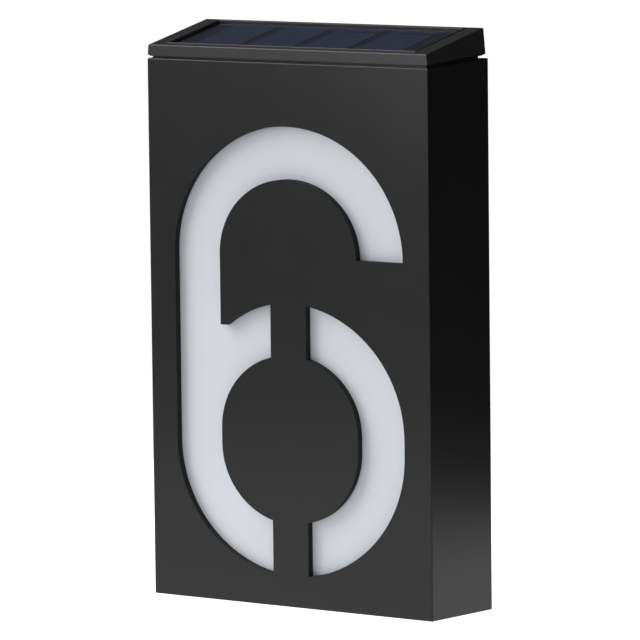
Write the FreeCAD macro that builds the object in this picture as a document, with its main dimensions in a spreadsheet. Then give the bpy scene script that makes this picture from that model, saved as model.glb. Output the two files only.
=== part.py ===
import FreeCAD, Part
import math
import os
import Sketcher

# A solar house number sign for a wall. A drafted black box has the numeral 6 cut through its
# front as a stencil, a white diffuser and a light box stand behind the cut-out, and a wedge
# cap with a solar panel closes the roof.
#
# Frame: millimetres, +Z up, +X to the right of someone who faces the front, front towards -Y.
# The origin is the centre of the two keyholes, on the rear plane that lies on the wall.

Vector = FreeCAD.Vector
Rotation = FreeCAD.Rotation
Placement = FreeCAD.Placement
X_AXIS, Y_AXIS, Z_AXIS = Vector(1, 0, 0), Vector(0, 1, 0), Vector(0, 0, 1)

DIMENSIONS = {
    # housing
    "front_width": 107.5,
    "front_height": 175.0,
    "depth": 33.7,
    "draft_angle": 1.8,
    "wall": 2.5,
    "edge_radius": 0.45,
    "foot_drop": 130.0,          # origin above the lower front edge
    "rim_lip": 1.3,
    "rebate_depth": 3.3,
    "rib": 1.4,
    "cover_boss_radius": 3.5,
    # numeral, heights above the lower front edge
    "arc_half_width": 43.8,
    "arc_rise": 41.55,
    "eye_half_width": 26.2,
    "eye_rise": 24.6,
    "crown_height": 113.2,
    "bowl_top_height": 56.7,
    "bowl_foot_height": 51.5,
    "bridge_width": 13.6,
    "crook_radius": 40.0,
    "crook_height": 58.0,
    "crook_tip": 24.0,
    # light box
    "diffuser_width": 95.0,
    "diffuser_height": 153.2,
    "diffuser_middle": 82.4,     # above the lower front edge
    "diffuser_thickness": 2.0,
    "corner_cut": 8.0,
    "tray_wall": 1.5,
    "tray_depth": 11.5,
    "tray_edge": 0.5,            # how far the tray stands inside the diffuser's outline
    "fence_gap": 0.2,            # between the diffuser and the ribs round it
    "fence_run": 18.0,
    "fence_spread": 22.0,
    "fence_rise": 45.0,
    "ear_spread": 32.0,
    "ear_height": 35.0,
    "ear_width": 10.0,
    "ear_end": 4.0,              # above the middle of its screw
    "island_height": -76.0,
    "tray_boss_radius": 3.5,
    "led_board_width": 12.0,
    "led_board_height": 136.0,
    "led_board_middle": -48.0,
    "led_board_thickness": 1.0,
    "led_width": 2.8,
    "led_height": 3.5,
    "led_depth": 0.8,
    "led_lens_radius": 1.0,
    "led_lens_depth": 0.3,
    "led_lead_x": 8.8,
    "led_lead_height": -66.0,
    "led_lead_hole": 2.2,
    # solar cap
    "neck_side": 1.35,
    "neck_rear": 2.0,
    "cap_gap": 0.65,
    "cap_gap_growth": 0.2,       # degrees between the roof and the cap's underside
    "cap_front_height": 3.7,
    "cap_slope": 10.75,
    "cap_foot_half": 53.7,
    "cap_rear_half": 54.3,
    "cap_foot_length": 33.4,
    "cap_top_length": 34.1,
    "cap_side_lean": 5.0,
    "cap_rear_lean": 0.1,
    "cap_edge": 0.4,
    "cap_bevel_rise": 0.65,      # under the sides and the rear
    "cap_bevel_run": 1.25,
    "cap_front_bevel": 0.25,
    "window_width": 94.0,
    "window_length": 28.5,
    "window_front": 3.1,
    "window_depth": 2.25,
    "window_rim_width": 0.7,
    "window_rim_rise": 0.25,
    "window_edge": 0.2,
    "cap_floor": 1.6,
    "cap_hollow_front": 12.0,
    "cap_hollow_rear": 30.4,
    "cap_hollow_half": 44.0,
    "gasket_width": 1.0,
    "gasket_depth": 0.8,
    "gasket_inset": 1.5,
    "cap_screw_spread": 48.5,
    "cap_screw_front": 8.2,
    "cap_screw_rear": 26.5,
    "lead_hole_x": -20.0,
    "lead_hole_run": 21.7,
    "lead_hole_radius": 3.2,
    # solar panel, from its cover down to its tape
    "panel_drop": 0.5,           # below the cap's top plane
    "panel_clearance": 0.3,
    "panel_cover_thickness": 0.4,
    "cell_thickness": 0.15,
    "panel_board_thickness": 0.8,
    "panel_tape_thickness": 0.4,
    "panel_tape_width": 4.0,
    "cell_width": 17.1,
    "cell_length": 25.2,
    "cell_gap": 3.6,
    # back cover
    "cover_thickness": 2.5,
    "cover_clearance": 0.25,
    "cover_corner": 1.5,
    "cover_screw_spread": 47.5,
    "cover_screw_top": 37.0,
    "cover_screw_foot": -122.0,
    "keyhole_spread": 30.0,
    "keyhole_radius": 4.0,
    "keyhole_slot": 4.2,
    "keyhole_rise": 9.0,
    "chamber_width": 12.0,
    "chamber_height": 19.0,
    "chamber_depth": 4.8,
    "chamber_wall": 1.5,
    "stiffener": 1.2,
    "stiffener_rise": 2.0,
    # battery bay
    "bay_middle": -48.0,
    "bay_length": 50.5,
    "bay_width": 11.3,
    "bay_floor": 13.7,
    "bay_wall": 1.5,
    "frame_length": 76.0,
    "frame_width": 25.0,
    "frame_depth": 4.5,
    "door_length": 69.6,
    "door_width": 19.0,
    "door_thickness": 2.0,
    "door_clearance": 0.2,
    "door_screw_spread": 31.0,
    "seal_thickness": 0.8,
    "seal_width": 1.4,
    "battery_radius": 5.25,
    "battery_length": 44.5,
    "battery_axis": 8.3,
    "battery_nub_radius": 1.9,
    "contact_thickness": 0.4,
    "contact_size": 9.0,
    "contact_tab": 3.0,
    # control board and switch
    "board_middle": -92.0,
    "board_length": 52.0,
    "board_width": 28.0,
    "board_thickness": 1.2,
    "board_face": 7.2,
    "board_screw_spread": 22.0,
    "board_post_radius": 2.8,
    "door_post_radius": 3.2,
    "door_post_length": 6.5,
    "switch_length": 12.8,
    "switch_width": 6.2,
    "switch_height": 4.5,
    "switch_travel": 3.0,
    "knob_length": 3.0,
    "knob_width": 2.6,
    "dish_length": 15.0,
    "dish_width": 8.0,
    "dish_depth": 1.3,
    # two-pin headers on the control board
    "header_length": 7.6,
    "header_depth": 5.0,
    "header_height": 6.0,
    "header_wall": 0.7,
    "header_spread": 16.0,
    "plug_rise": 2.6,            # above the foot of the header
    "plug_length": 6.0,
    # leads
    "lead_radius": 0.6,
    "lead_pitch": 2.0,
    # battery spring
    "spring_radius": 3.6,
    "spring_wire": 0.36,
    "spring_turns": 3.0,
}

# Pan head screws of each kind, with the blind pilot that holds each and the hole it passes.
SCREW_PARTS = ("shank", "length", "head", "head_height", "pilot", "pilot_depth", "passage")
SCREWS = {
    "cover": (1.4, 9.5, 2.8, 1.3, 1.5, 11.0, 1.6),
    "tray": (1.2, 6.5, 2.4, 1.3, 1.25, 6.0, 1.5),
    "cap": (1.1, 5.4, 2.1, 1.4, 1.15, 2.6, 1.35),
    "door": (1.1, 7.5, 2.4, 1.0, 1.2, 8.0, 1.4),
    "board": (1.0, 4.6, 2.0, 1.3, 1.05, 4.0, 1.3),
}
for kind, numbers in SCREWS.items():
    for part, number in zip(SCREW_PARTS, numbers):
        DIMENSIONS["%s_screw_%s" % (kind, part)] = number
COUNTERBORES = {"cover": (3.1, 1.4), "door": (2.7, 1.1)}


class Size:
    """A length or an angle: its value and the sheet expression that gives it."""

    def __init__(self, value, text):
        self.value = float(value)
        self.text = text

    def __float__(self):
        return self.value

    def __add__(self, other):
        other = as_size(other)
        return Size(self.value + other.value, "(%s + %s)" % (self.text, other.text))

    def __sub__(self, other):
        other = as_size(other)
        return Size(self.value - other.value, "(%s - %s)" % (self.text, other.text))

    def __mul__(self, other):
        other = as_size(other)
        return Size(self.value * other.value, "(%s * %s)" % (self.text, other.text))

    def __truediv__(self, other):
        other = as_size(other)
        return Size(self.value / other.value, "(%s / %s)" % (self.text, other.text))

    def __neg__(self):
        return Size(-self.value, "(0 - %s)" % self.text)

    def __rsub__(self, other):
        return as_size(other) - self

    __radd__ = __add__
    __rmul__ = __mul__


def as_size(thing):
    return thing if isinstance(thing, Size) else Size(thing, "(%.6f)" % float(thing))


def tangent(angle):
    value = math.tan(math.radians(angle.value))
    return Size(value, "tan(%s * 1deg)" % angle.text)


def cosine(angle):
    value = math.cos(math.radians(angle.value))
    return Size(value, "cos(%s * 1deg)" % angle.text)


doc = FreeCAD.newDocument("house_number_sign")
sheet = doc.addObject("Spreadsheet::Sheet", "sizes")
for line, (alias, number) in enumerate(DIMENSIONS.items(), start=1):
    sheet.set("A%d" % line, alias)
    sheet.set("B%d" % line, str(number))
    sheet.setAlias("B%d" % line, alias)
doc.recompute()


class Sheet:
    """Every driving dimension as a Size, by its name."""


s = Sheet()
for alias, number in DIMENSIONS.items():
    setattr(s, alias, Size(number, "sizes." + alias))

# Places that most pieces share.
FOOT = -s.foot_drop
FRONT = -s.depth
REAR_GROWTH = s.depth * tangent(s.draft_angle)
REAR_WIDTH = s.front_width + 2 * REAR_GROWTH
REAR_HEIGHT = s.front_height + 2 * REAR_GROWTH
MIDDLE = FOOT + s.front_height / 2
ROOF = FOOT + s.front_height
FRONT_WALL_BACK = FRONT + s.wall
DIFFUSER_BACK = FRONT_WALL_BACK + s.diffuser_thickness
TRAY_BACK = DIFFUSER_BACK + s.tray_depth
TRAY_FLOOR = TRAY_BACK - s.tray_wall
CAP_TILT = s.draft_angle + s.cap_gap_growth
CAP_FOOT = ROOF + s.cap_gap
CAP_TOP = CAP_FOOT + s.cap_front_height

NODES = []
SINK = 0.5                       # how far a boss or rib is sunk into the wall that carries it


# ---------------------------------------------------------------- building helpers

def bind(thing, **sizes):
    for name, amount in sizes.items():
        thing.setExpression(name, as_size(amount).text)


def place(thing, x=0, y=0, z=0, axis=None, angle=0):
    turn = Rotation(axis, float(angle)) if axis else Rotation()
    thing.Placement = Placement(Vector(float(x), float(y), float(z)), turn)
    for name, amount in zip("xyz", (x, y, z)):
        if isinstance(amount, Size):
            thing.setExpression("Placement.Base." + name, amount.text)
    return thing


def node(thing, name):
    thing.Label = name
    NODES.append(thing)
    return thing


def new_body(name):
    return node(doc.addObject("PartDesign::Body", name), name)


def new_sketch(body, plane, offset=0, tilt=0, y=0, z=0):
    """A sketch on one of the body's origin planes, moved along its normal or tilted about X."""
    sketch = body.newObject("Sketcher::SketchObject", "sketch")
    support = [f for f in body.Origin.OriginFeatures if f.Role == plane][0]
    sketch.AttachmentSupport = [(support, "")]
    sketch.MapMode = "FlatFace"
    if plane == "XY_Plane":
        turn = Rotation(X_AXIS, float(tilt))
        sketch.AttachmentOffset = Placement(Vector(0, float(y), float(z)), turn)
        if isinstance(y, Size):
            bind_offset(sketch, "y", y)
        if isinstance(z, Size):
            bind_offset(sketch, "z", z)
    else:
        sketch.AttachmentOffset = Placement(Vector(0, 0, float(offset)), Rotation())
        if isinstance(offset, Size):
            bind_offset(sketch, "z", offset)
    return sketch


def bind_offset(sketch, name, amount):
    sketch.setExpression("AttachmentOffset.Base." + name, amount.text)


def dimension(sketch, kind, *where, size):
    """A driving constraint that follows the sheet."""
    amount = as_size(size)
    number = sketch.addConstraint(Sketcher.Constraint(kind, *where, amount.value))
    sketch.setExpression("Constraints[%d]" % number, amount.text)


def add_rectangle(sketch, width, height, x=0, y=0):
    """A rectangle about the point x, y of the sketch."""
    left, low = x - as_size(width) / 2, y - as_size(height) / 2
    corners = [(0, 0), (1, 0), (1, 1), (0, 1)]
    points = []
    for across, up in corners:
        points.append(Vector(left.value + across * float(width), low.value + up * float(height), 0))
    first = sketch.GeometryCount
    for k in range(4):
        sketch.addGeometry(Part.LineSegment(points[k], points[(k + 1) % 4]), False)
    for k in range(4):
        joint = Sketcher.Constraint("Coincident", first + k, 2, first + (k + 1) % 4, 1)
        sketch.addConstraint(joint)
        kind = "Vertical" if k % 2 else "Horizontal"
        sketch.addConstraint(Sketcher.Constraint(kind, first + k))
    dimension(sketch, "DistanceX", first, 1, first, 2, size=width)
    dimension(sketch, "DistanceY", first + 1, 1, first + 1, 2, size=height)
    dimension(sketch, "DistanceX", -1, 1, first, 1, size=left)
    dimension(sketch, "DistanceY", -1, 1, first, 1, size=low)


def add_circle(sketch, radius, x=0, y=0):
    centre = Vector(float(x), float(y), 0)
    circle = sketch.addGeometry(Part.Circle(centre, Z_AXIS, float(radius)), False)
    dimension(sketch, "Radius", circle, size=radius)
    dimension(sketch, "DistanceX", -1, 1, circle, 3, size=x)
    dimension(sketch, "DistanceY", -1, 1, circle, 3, size=y)


def add_circles(sketch, radius, points):
    for x, y in points:
        add_circle(sketch, radius, x, y)


def add_outline(sketch, points):
    """A closed outline of straight edges, each corner held by its two distances."""
    first = sketch.GeometryCount
    count = len(points)
    spots = [Vector(float(x), float(y), 0) for x, y in points]
    for k in range(count):
        sketch.addGeometry(Part.LineSegment(spots[k], spots[(k + 1) % count]), False)
    for k, (x, y) in enumerate(points):
        joint = Sketcher.Constraint("Coincident", first + k, 1, first + (k - 1) % count, 2)
        sketch.addConstraint(joint)
        dimension(sketch, "DistanceX", -1, 1, first + k, 1, size=x)
        dimension(sketch, "DistanceY", -1, 1, first + k, 1, size=y)


def pad(body, sketch, length, taper=None, both=False, back=False):
    feature = body.newObject("PartDesign::Pad", "pad")
    feature.Profile = sketch
    feature.Midplane = both
    feature.Reversed = back
    bind(feature, Length=length)
    if taper is not None:
        bind(feature, TaperAngle=taper)
    return settle(body, feature)


def pocket(body, sketch, length, taper=None, both=False, back=False):
    before = body.Shape.Volume
    feature = body.newObject("PartDesign::Pocket", "pocket")
    feature.Profile = sketch
    feature.Midplane = both
    feature.Reversed = back
    bind(feature, Length=length)
    if taper is not None:
        bind(feature, TaperAngle=taper)
    settle(body, feature)
    if body.Shape.Volume >= before - 0.01:
        raise RuntimeError("%s: %s cuts nothing" % (body.Label, feature.Name))
    return feature


def settle(body, feature):
    body.Tip = feature
    doc.recompute()
    if "Invalid" in feature.State or not feature.Shape.isValid():
        raise RuntimeError("%s: %s failed" % (body.Label, feature.Name))
    return feature


def edges_where(shape, test):
    return ["Edge%d" % k for k, edge in enumerate(shape.Edges, start=1) if test(edge)]


def fillet(body, radius, test):
    """A fillet on those edges of the body that pass the test."""
    base = body.Tip
    feature = body.newObject("PartDesign::Fillet", "fillet")
    feature.Base = (base, edges_where(base.Shape, test))
    bind(feature, Radius=radius)
    return settle(body, feature)


def chamfer(body, first, second, test):
    """A chamfer of two distances on those edges of the body that pass the test."""
    base = body.Tip
    feature = body.newObject("PartDesign::Chamfer", "chamfer")
    feature.Base = (base, edges_where(base.Shape, test))
    feature.ChamferType = "Two distances"
    bind(feature, Size=first, Size2=second)
    return settle(body, feature)


def revolve(body, profile):
    """Turns a profile about its own upright axis."""
    feature = body.newObject("PartDesign::Revolution", "turned")
    feature.Profile = profile
    feature.ReferenceAxis = (profile, ["V_Axis"])
    return settle(body, feature)


def make_box(width, length, height, x=0, y=0, z=0):
    """A block centred on x, from y and z upwards."""
    block = doc.addObject("Part::Box", "block")
    bind(block, Length=width, Width=length, Height=height)
    return place(block, x=as_size(x) - as_size(width) / 2, y=y, z=z)


def make_cylinder(radius, height, x=0, y=0, z=0, axis=None, angle=0):
    cylinder = doc.addObject("Part::Cylinder", "cylinder")
    bind(cylinder, Radius=radius, Height=height)
    return place(cylinder, x, y, z, axis, angle)


def cut(base, tool, name="cut"):
    result = doc.addObject("Part::Cut", name)
    result.Base, result.Tool = base, tool
    return result


def fuse(shapes, name="fuse"):
    result = doc.addObject("Part::MultiFuse", name)
    result.Shapes = shapes
    return result


def repeat(name, master, places):
    """Like pieces as one group of separate solids, each a link to the master."""
    links = []
    for where in places:
        link = doc.addObject("App::Link", name + "_copy")
        link.LinkedObject = master
        link.LinkTransform = False
        link.Placement = where
        links.append(link)
    group = doc.addObject("Part::Compound", name)
    group.Links = links
    return node(group, name)


def spot(x, y, z, axis=None, angle=0):
    turn = Rotation(axis, float(angle)) if axis else Rotation()
    return Placement(Vector(float(x), float(y), float(z)), turn)


def screw_sizes(kind, *parts):
    return [getattr(s, "%s_screw_%s" % (kind, part)) for part in parts]


def screw_master(kind):
    """A screw with a cross recess. Its head stands on z = 0 and its shank points down."""
    shank, length, head, head_height = screw_sizes(kind, "shank", "length", "head", "head_height")
    body = doc.addObject("PartDesign::Body", kind + "_screw_master")
    profile = new_sketch(body, "XZ_Plane")
    add_outline(profile, [
        (0, head_height), (head * 0.75, head_height), (head, 0), (shank, 0), (shank, -length),
        (0, -length),
    ])
    revolve(body, profile)
    recess = new_sketch(body, "XY_Plane", z=head_height)
    reach, half_slot = head * 0.45, head * 0.11
    add_outline(recess, [
        (half_slot, -half_slot), (reach, -half_slot), (reach, half_slot),
        (half_slot, half_slot), (half_slot, reach), (-half_slot, reach),
        (-half_slot, half_slot), (-reach, half_slot), (-reach, -half_slot),
        (-half_slot, -half_slot), (-half_slot, -reach), (half_slot, -reach),
    ])
    pocket(body, recess, head_height * 0.6)
    return body


# ---------------------------------------------------------------- front housing

def numeral_outlines():
    """The two cut-outs of the stencil numeral, as closed runs of curves in x and height."""
    bridge = float(s.bridge_width) / 2
    crown = float(FOOT + s.crown_height)
    bowl_top = float(FOOT + s.bowl_top_height)
    bowl_foot = float(FOOT + s.bowl_foot_height)
    outer = (float(s.arc_half_width), float(s.arc_rise))
    inner = (float(s.eye_half_width), float(s.eye_rise))
    crook_centre = float(FOOT + s.crook_height)
    crook = float(s.crook_radius)
    tip_x = -float(s.crook_tip)
    tip_z = crook_centre + math.sqrt(crook ** 2 - tip_x ** 2)

    def arc(radii, height, start, end):
        """Part of an ellipse about x = 0, between two angles in degrees, counter-clockwise."""
        ellipse = Part.Ellipse(Vector(0, height, 0), *radii)
        return Part.ArcOfEllipse(ellipse, math.radians(start), math.radians(end))

    def on_arc(radii, height, degrees):
        turn = math.radians(degrees)
        return radii[0] * math.cos(turn), height + radii[1] * math.sin(turn)

    def line(start, end):
        return Part.LineSegment(Vector(start[0], start[1], 0), Vector(end[0], end[1], 0))

    outer_lean = math.degrees(math.asin(bridge / outer[0]))
    inner_lean = math.degrees(math.asin(bridge / inner[0]))
    crook_top = crook_centre + math.sqrt(crook ** 2 - bridge ** 2)
    crook_start, crook_end = math.acos(-bridge / crook), math.acos(tip_x / crook)
    left = [
        arc(outer, crown, 0, 180),
        line((-outer[0], crown), (-outer[0], bowl_foot)),
        arc(outer, bowl_foot, 180, 270 - outer_lean),
        line(on_arc(outer, bowl_foot, 270 - outer_lean), on_arc(inner, bowl_foot, 270 - inner_lean)),
        arc(inner, bowl_foot, 180, 270 - inner_lean),
        line((-inner[0], bowl_foot), (-inner[0], bowl_top)),
        arc(inner, bowl_top, 90 + inner_lean, 180),
        line(on_arc(inner, bowl_top, 90 + inner_lean), (-bridge, crook_top)),
        Part.ArcOfCircle(Part.Circle(Vector(0, crook_centre, 0), Z_AXIS, crook), crook_start, crook_end),
        line((tip_x, tip_z), (-inner[0], tip_z)),
        line((-inner[0], tip_z), (-inner[0], crown)),
        arc(inner, crown, 0, 180),
        line((inner[0], crown), (outer[0], crown)),
    ]
    right = [
        arc(outer, bowl_foot, 270 + outer_lean, 360),
        line((outer[0], bowl_foot), (outer[0], bowl_top)),
        arc(outer, bowl_top, 0, 90 - outer_lean),
        line(on_arc(outer, bowl_top, 90 - outer_lean), on_arc(inner, bowl_top, 90 - inner_lean)),
        arc(inner, bowl_top, 0, 90 - inner_lean),
        line((inner[0], bowl_top), (inner[0], bowl_foot)),
        arc(inner, bowl_foot, 270 + inner_lean, 360),
        line(on_arc(inner, bowl_foot, 270 + inner_lean), on_arc(outer, bowl_foot, 270 + outer_lean)),
    ]
    return left, right


def cover_screw_points():
    for side in (-1, 1):
        for height in (s.cover_screw_top, s.cover_screw_foot):
            yield s.cover_screw_spread * side, height


def tray_screw_points():
    yield -s.ear_spread, s.ear_height
    yield s.ear_spread, s.ear_height
    yield Size(0, "0"), s.island_height


def cap_screw_points():
    """Across, and along the slope of the cap's underside from its front edge."""
    for side in (-1, 1):
        for run in (s.cap_screw_front, s.cap_screw_rear):
            yield s.cap_screw_spread * side, run


def cap_plane_sketch(body):
    """A sketch on the plane of the cap's underside, x across and y up the slope."""
    return new_sketch(body, "XY_Plane", tilt=CAP_TILT, y=FRONT, z=CAP_FOOT)


def gasket_outline():
    """Size of the cap's gasket and how far up the slope its middle lies."""
    width = s.front_width - 2 * (s.neck_side + s.gasket_inset)
    start = s.neck_side + s.gasket_inset
    length = s.depth - s.neck_rear - s.gasket_inset - start
    return width, length, start + length / 2


def build_front_housing():
    body = new_body("front_housing")

    outside = new_sketch(body, "XZ_Plane")
    add_rectangle(outside, REAR_WIDTH, REAR_HEIGHT, 0, MIDDLE)
    pad(body, outside, s.depth, taper=-s.draft_angle)
    fillet(body, s.edge_radius, lambda edge: edge.BoundBox.YMin < FRONT.value + 0.01)

    neck = new_sketch(body, "YZ_Plane")
    neck_front, neck_back = FRONT + s.neck_side, -s.neck_rear
    slope = tangent(CAP_TILT)
    add_outline(neck, [
        (neck_front, ROOF - s.wall / 2),
        (neck_back, ROOF - s.wall / 2),
        (neck_back, CAP_FOOT + (s.depth - s.neck_rear) * slope),
        (neck_front, CAP_FOOT + s.neck_side * slope),
    ])
    pad(body, neck, s.front_width - 2 * s.neck_side, both=True)

    cavity = new_sketch(body, "XZ_Plane")
    add_rectangle(cavity, REAR_WIDTH - 2 * s.wall, REAR_HEIGHT - 2 * s.wall, 0, MIDDLE)
    pocket(body, cavity, s.depth - s.wall, taper=-s.draft_angle, back=True)

    rebate = new_sketch(body, "XZ_Plane")
    add_rectangle(rebate, REAR_WIDTH - 2 * s.rim_lip, REAR_HEIGHT - 2 * s.rim_lip, 0, MIDDLE)
    pocket(body, rebate, s.rebate_depth, back=True)

    # Bosses and webs stand on the inside of the front wall.
    posts = new_sketch(body, "XZ_Plane", s.cover_thickness)
    add_circles(posts, s.cover_boss_radius, cover_screw_points())
    pad(body, posts, -FRONT_WALL_BACK - s.cover_thickness + SINK)
    for side in (-1, 1):
        webs = new_sketch(body, "XZ_Plane", s.rebate_depth + 2 * SINK)
        reach = s.front_width / 2 - s.cover_screw_spread
        for height in (s.cover_screw_top, s.cover_screw_foot):
            add_rectangle(webs, reach, s.rib, (s.cover_screw_spread + reach / 2) * side, height)
        pad(body, webs, s.depth - s.wall - s.rebate_depth - SINK)
    low_posts = new_sketch(body, "XZ_Plane", -TRAY_FLOOR)
    add_circles(low_posts, s.tray_boss_radius, tray_screw_points())
    pad(body, low_posts, TRAY_FLOOR - FRONT_WALL_BACK + SINK)

    # A broken fence of ribs locates the diffuser.
    fence = new_sketch(body, "XZ_Plane", -DIFFUSER_BACK)
    level = FOOT + s.diffuser_middle
    for side in (-1, 1):
        across = (s.diffuser_width / 2 + s.fence_gap + s.rib / 2) * side
        up = (s.diffuser_height / 2 + s.fence_gap + s.rib / 2) * side
        for step in (-1, 1):
            add_rectangle(fence, s.rib, s.fence_run, across, level + step * s.fence_rise)
            add_rectangle(fence, s.fence_run, s.rib, step * s.fence_spread, level + up)
    pad(body, fence, s.diffuser_thickness + SINK)

    cover_pilots = new_sketch(body, "XZ_Plane", s.cover_thickness)
    add_circles(cover_pilots, s.cover_screw_pilot, cover_screw_points())
    pocket(body, cover_pilots, s.cover_screw_pilot_depth, back=True)
    tray_pilots = new_sketch(body, "XZ_Plane", -TRAY_FLOOR)
    add_circles(tray_pilots, s.tray_screw_pilot, tray_screw_points())
    pocket(body, tray_pilots, s.tray_screw_pilot_depth, back=True)

    numeral = new_sketch(body, "XZ_Plane", s.depth)
    for outline in numeral_outlines():
        numeral.addGeometry(outline, False)
    pocket(body, numeral, s.wall)

    # Gasket groove, screw holes and the leads' hole, square to the cap's underside.
    groove = cap_plane_sketch(body)
    width, length, middle = gasket_outline()
    add_rectangle(groove, width, length, 0, middle)
    add_rectangle(groove, width - 2 * s.gasket_width, length - 2 * s.gasket_width, 0, middle)
    pocket(body, groove, s.gasket_depth)
    holes = cap_plane_sketch(body)
    add_circles(holes, s.cap_screw_passage, cap_screw_points())
    add_circle(holes, s.lead_hole_radius, s.lead_hole_x, s.lead_hole_run)
    pocket(body, holes, 2 * s.wall)


# ---------------------------------------------------------------- light box

def cut_corner_outline(width, height, middle):
    """A rectangle with its four corners cut at 45 degrees."""
    half, top = width / 2, height / 2
    cut_off = s.corner_cut
    return [
        (cut_off - half, middle - top), (half - cut_off, middle - top),
        (half, middle - top + cut_off), (half, middle + top - cut_off),
        (half - cut_off, middle + top), (cut_off - half, middle + top),
        (-half, middle + top - cut_off), (-half, middle - top + cut_off),
    ]


def build_diffuser():
    body = new_body("numeral_diffuser")
    sheet_sketch = new_sketch(body, "XZ_Plane", -DIFFUSER_BACK)
    level = FOOT + s.diffuser_middle
    add_outline(sheet_sketch, cut_corner_outline(s.diffuser_width, s.diffuser_height, level))
    add_circle(sheet_sketch, s.tray_boss_radius + 0.3, 0, s.island_height)
    pad(body, sheet_sketch, s.diffuser_thickness)


def build_tray():
    body = new_body("reflector_tray")
    width = s.diffuser_width - 2 * s.tray_edge
    height = s.diffuser_height - 2 * s.tray_edge
    level = FOOT + s.diffuser_middle
    outside = new_sketch(body, "XZ_Plane", -TRAY_BACK)
    add_outline(outside, cut_corner_outline(width, height, level))
    pad(body, outside, s.tray_depth)
    inside = new_sketch(body, "XZ_Plane", -DIFFUSER_BACK)
    inner = cut_corner_outline(width - 2 * s.tray_wall, height - 2 * s.tray_wall, level)
    add_outline(inside, inner)
    pocket(body, inside, s.tray_depth - s.tray_wall)
    ears = new_sketch(body, "XZ_Plane", -TRAY_BACK)
    top = level + height / 2
    reach = s.ear_height + s.ear_end - top
    for side in (-1, 1):
        add_rectangle(ears, s.ear_width, reach + 2 * SINK, s.ear_spread * side,
                      top + reach / 2 - SINK)
    pad(body, ears, s.tray_wall)
    holes = new_sketch(body, "XZ_Plane", -TRAY_FLOOR)
    add_circles(holes, s.tray_screw_passage, tray_screw_points())
    add_circle(holes, s.led_lead_hole, s.led_lead_x, s.led_lead_height)
    pocket(body, holes, s.tray_wall)


LED_HEIGHTS = (-108.0, -92.0, -60.0, -36.0, -12.0, 12.0)
LENS_SIDES = 8


def build_leds():
    board_front = TRAY_FLOOR - s.led_board_thickness
    strip = make_box(s.led_board_width, s.led_board_thickness, s.led_board_height, 0, board_front,
                     s.led_board_middle - s.led_board_height / 2)
    boss_gap = 0.4
    hole = make_cylinder(s.tray_boss_radius + boss_gap, 3 * s.led_board_thickness, 0,
                         board_front + 2 * s.led_board_thickness, s.island_height, X_AXIS, 90)
    node(cut(strip, hole, "led_board"), "led_board")

    package = make_box(s.led_width, s.led_depth, s.led_height)
    lens = doc.addObject("Part::Prism", "lens_well")
    lens.Polygon = LENS_SIDES
    bind(lens, Circumradius=s.led_lens_radius, Height=s.led_lens_depth)
    place(lens, 0, s.led_lens_depth, s.led_height / 2, X_AXIS, 90)
    led = cut(package, lens)
    places = [spot(0, board_front - s.led_depth, z - s.led_height / 2) for z in LED_HEIGHTS]
    repeat("led_packages", led, places)


# ---------------------------------------------------------------- solar cap

WINDOW_MIDDLE = s.window_front + s.window_length / 2


def cap_top_sketch(body):
    """A sketch on the cap's top plane, x across and y up the slope."""
    return new_sketch(body, "XY_Plane", tilt=s.cap_slope, y=FRONT, z=CAP_TOP)


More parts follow.
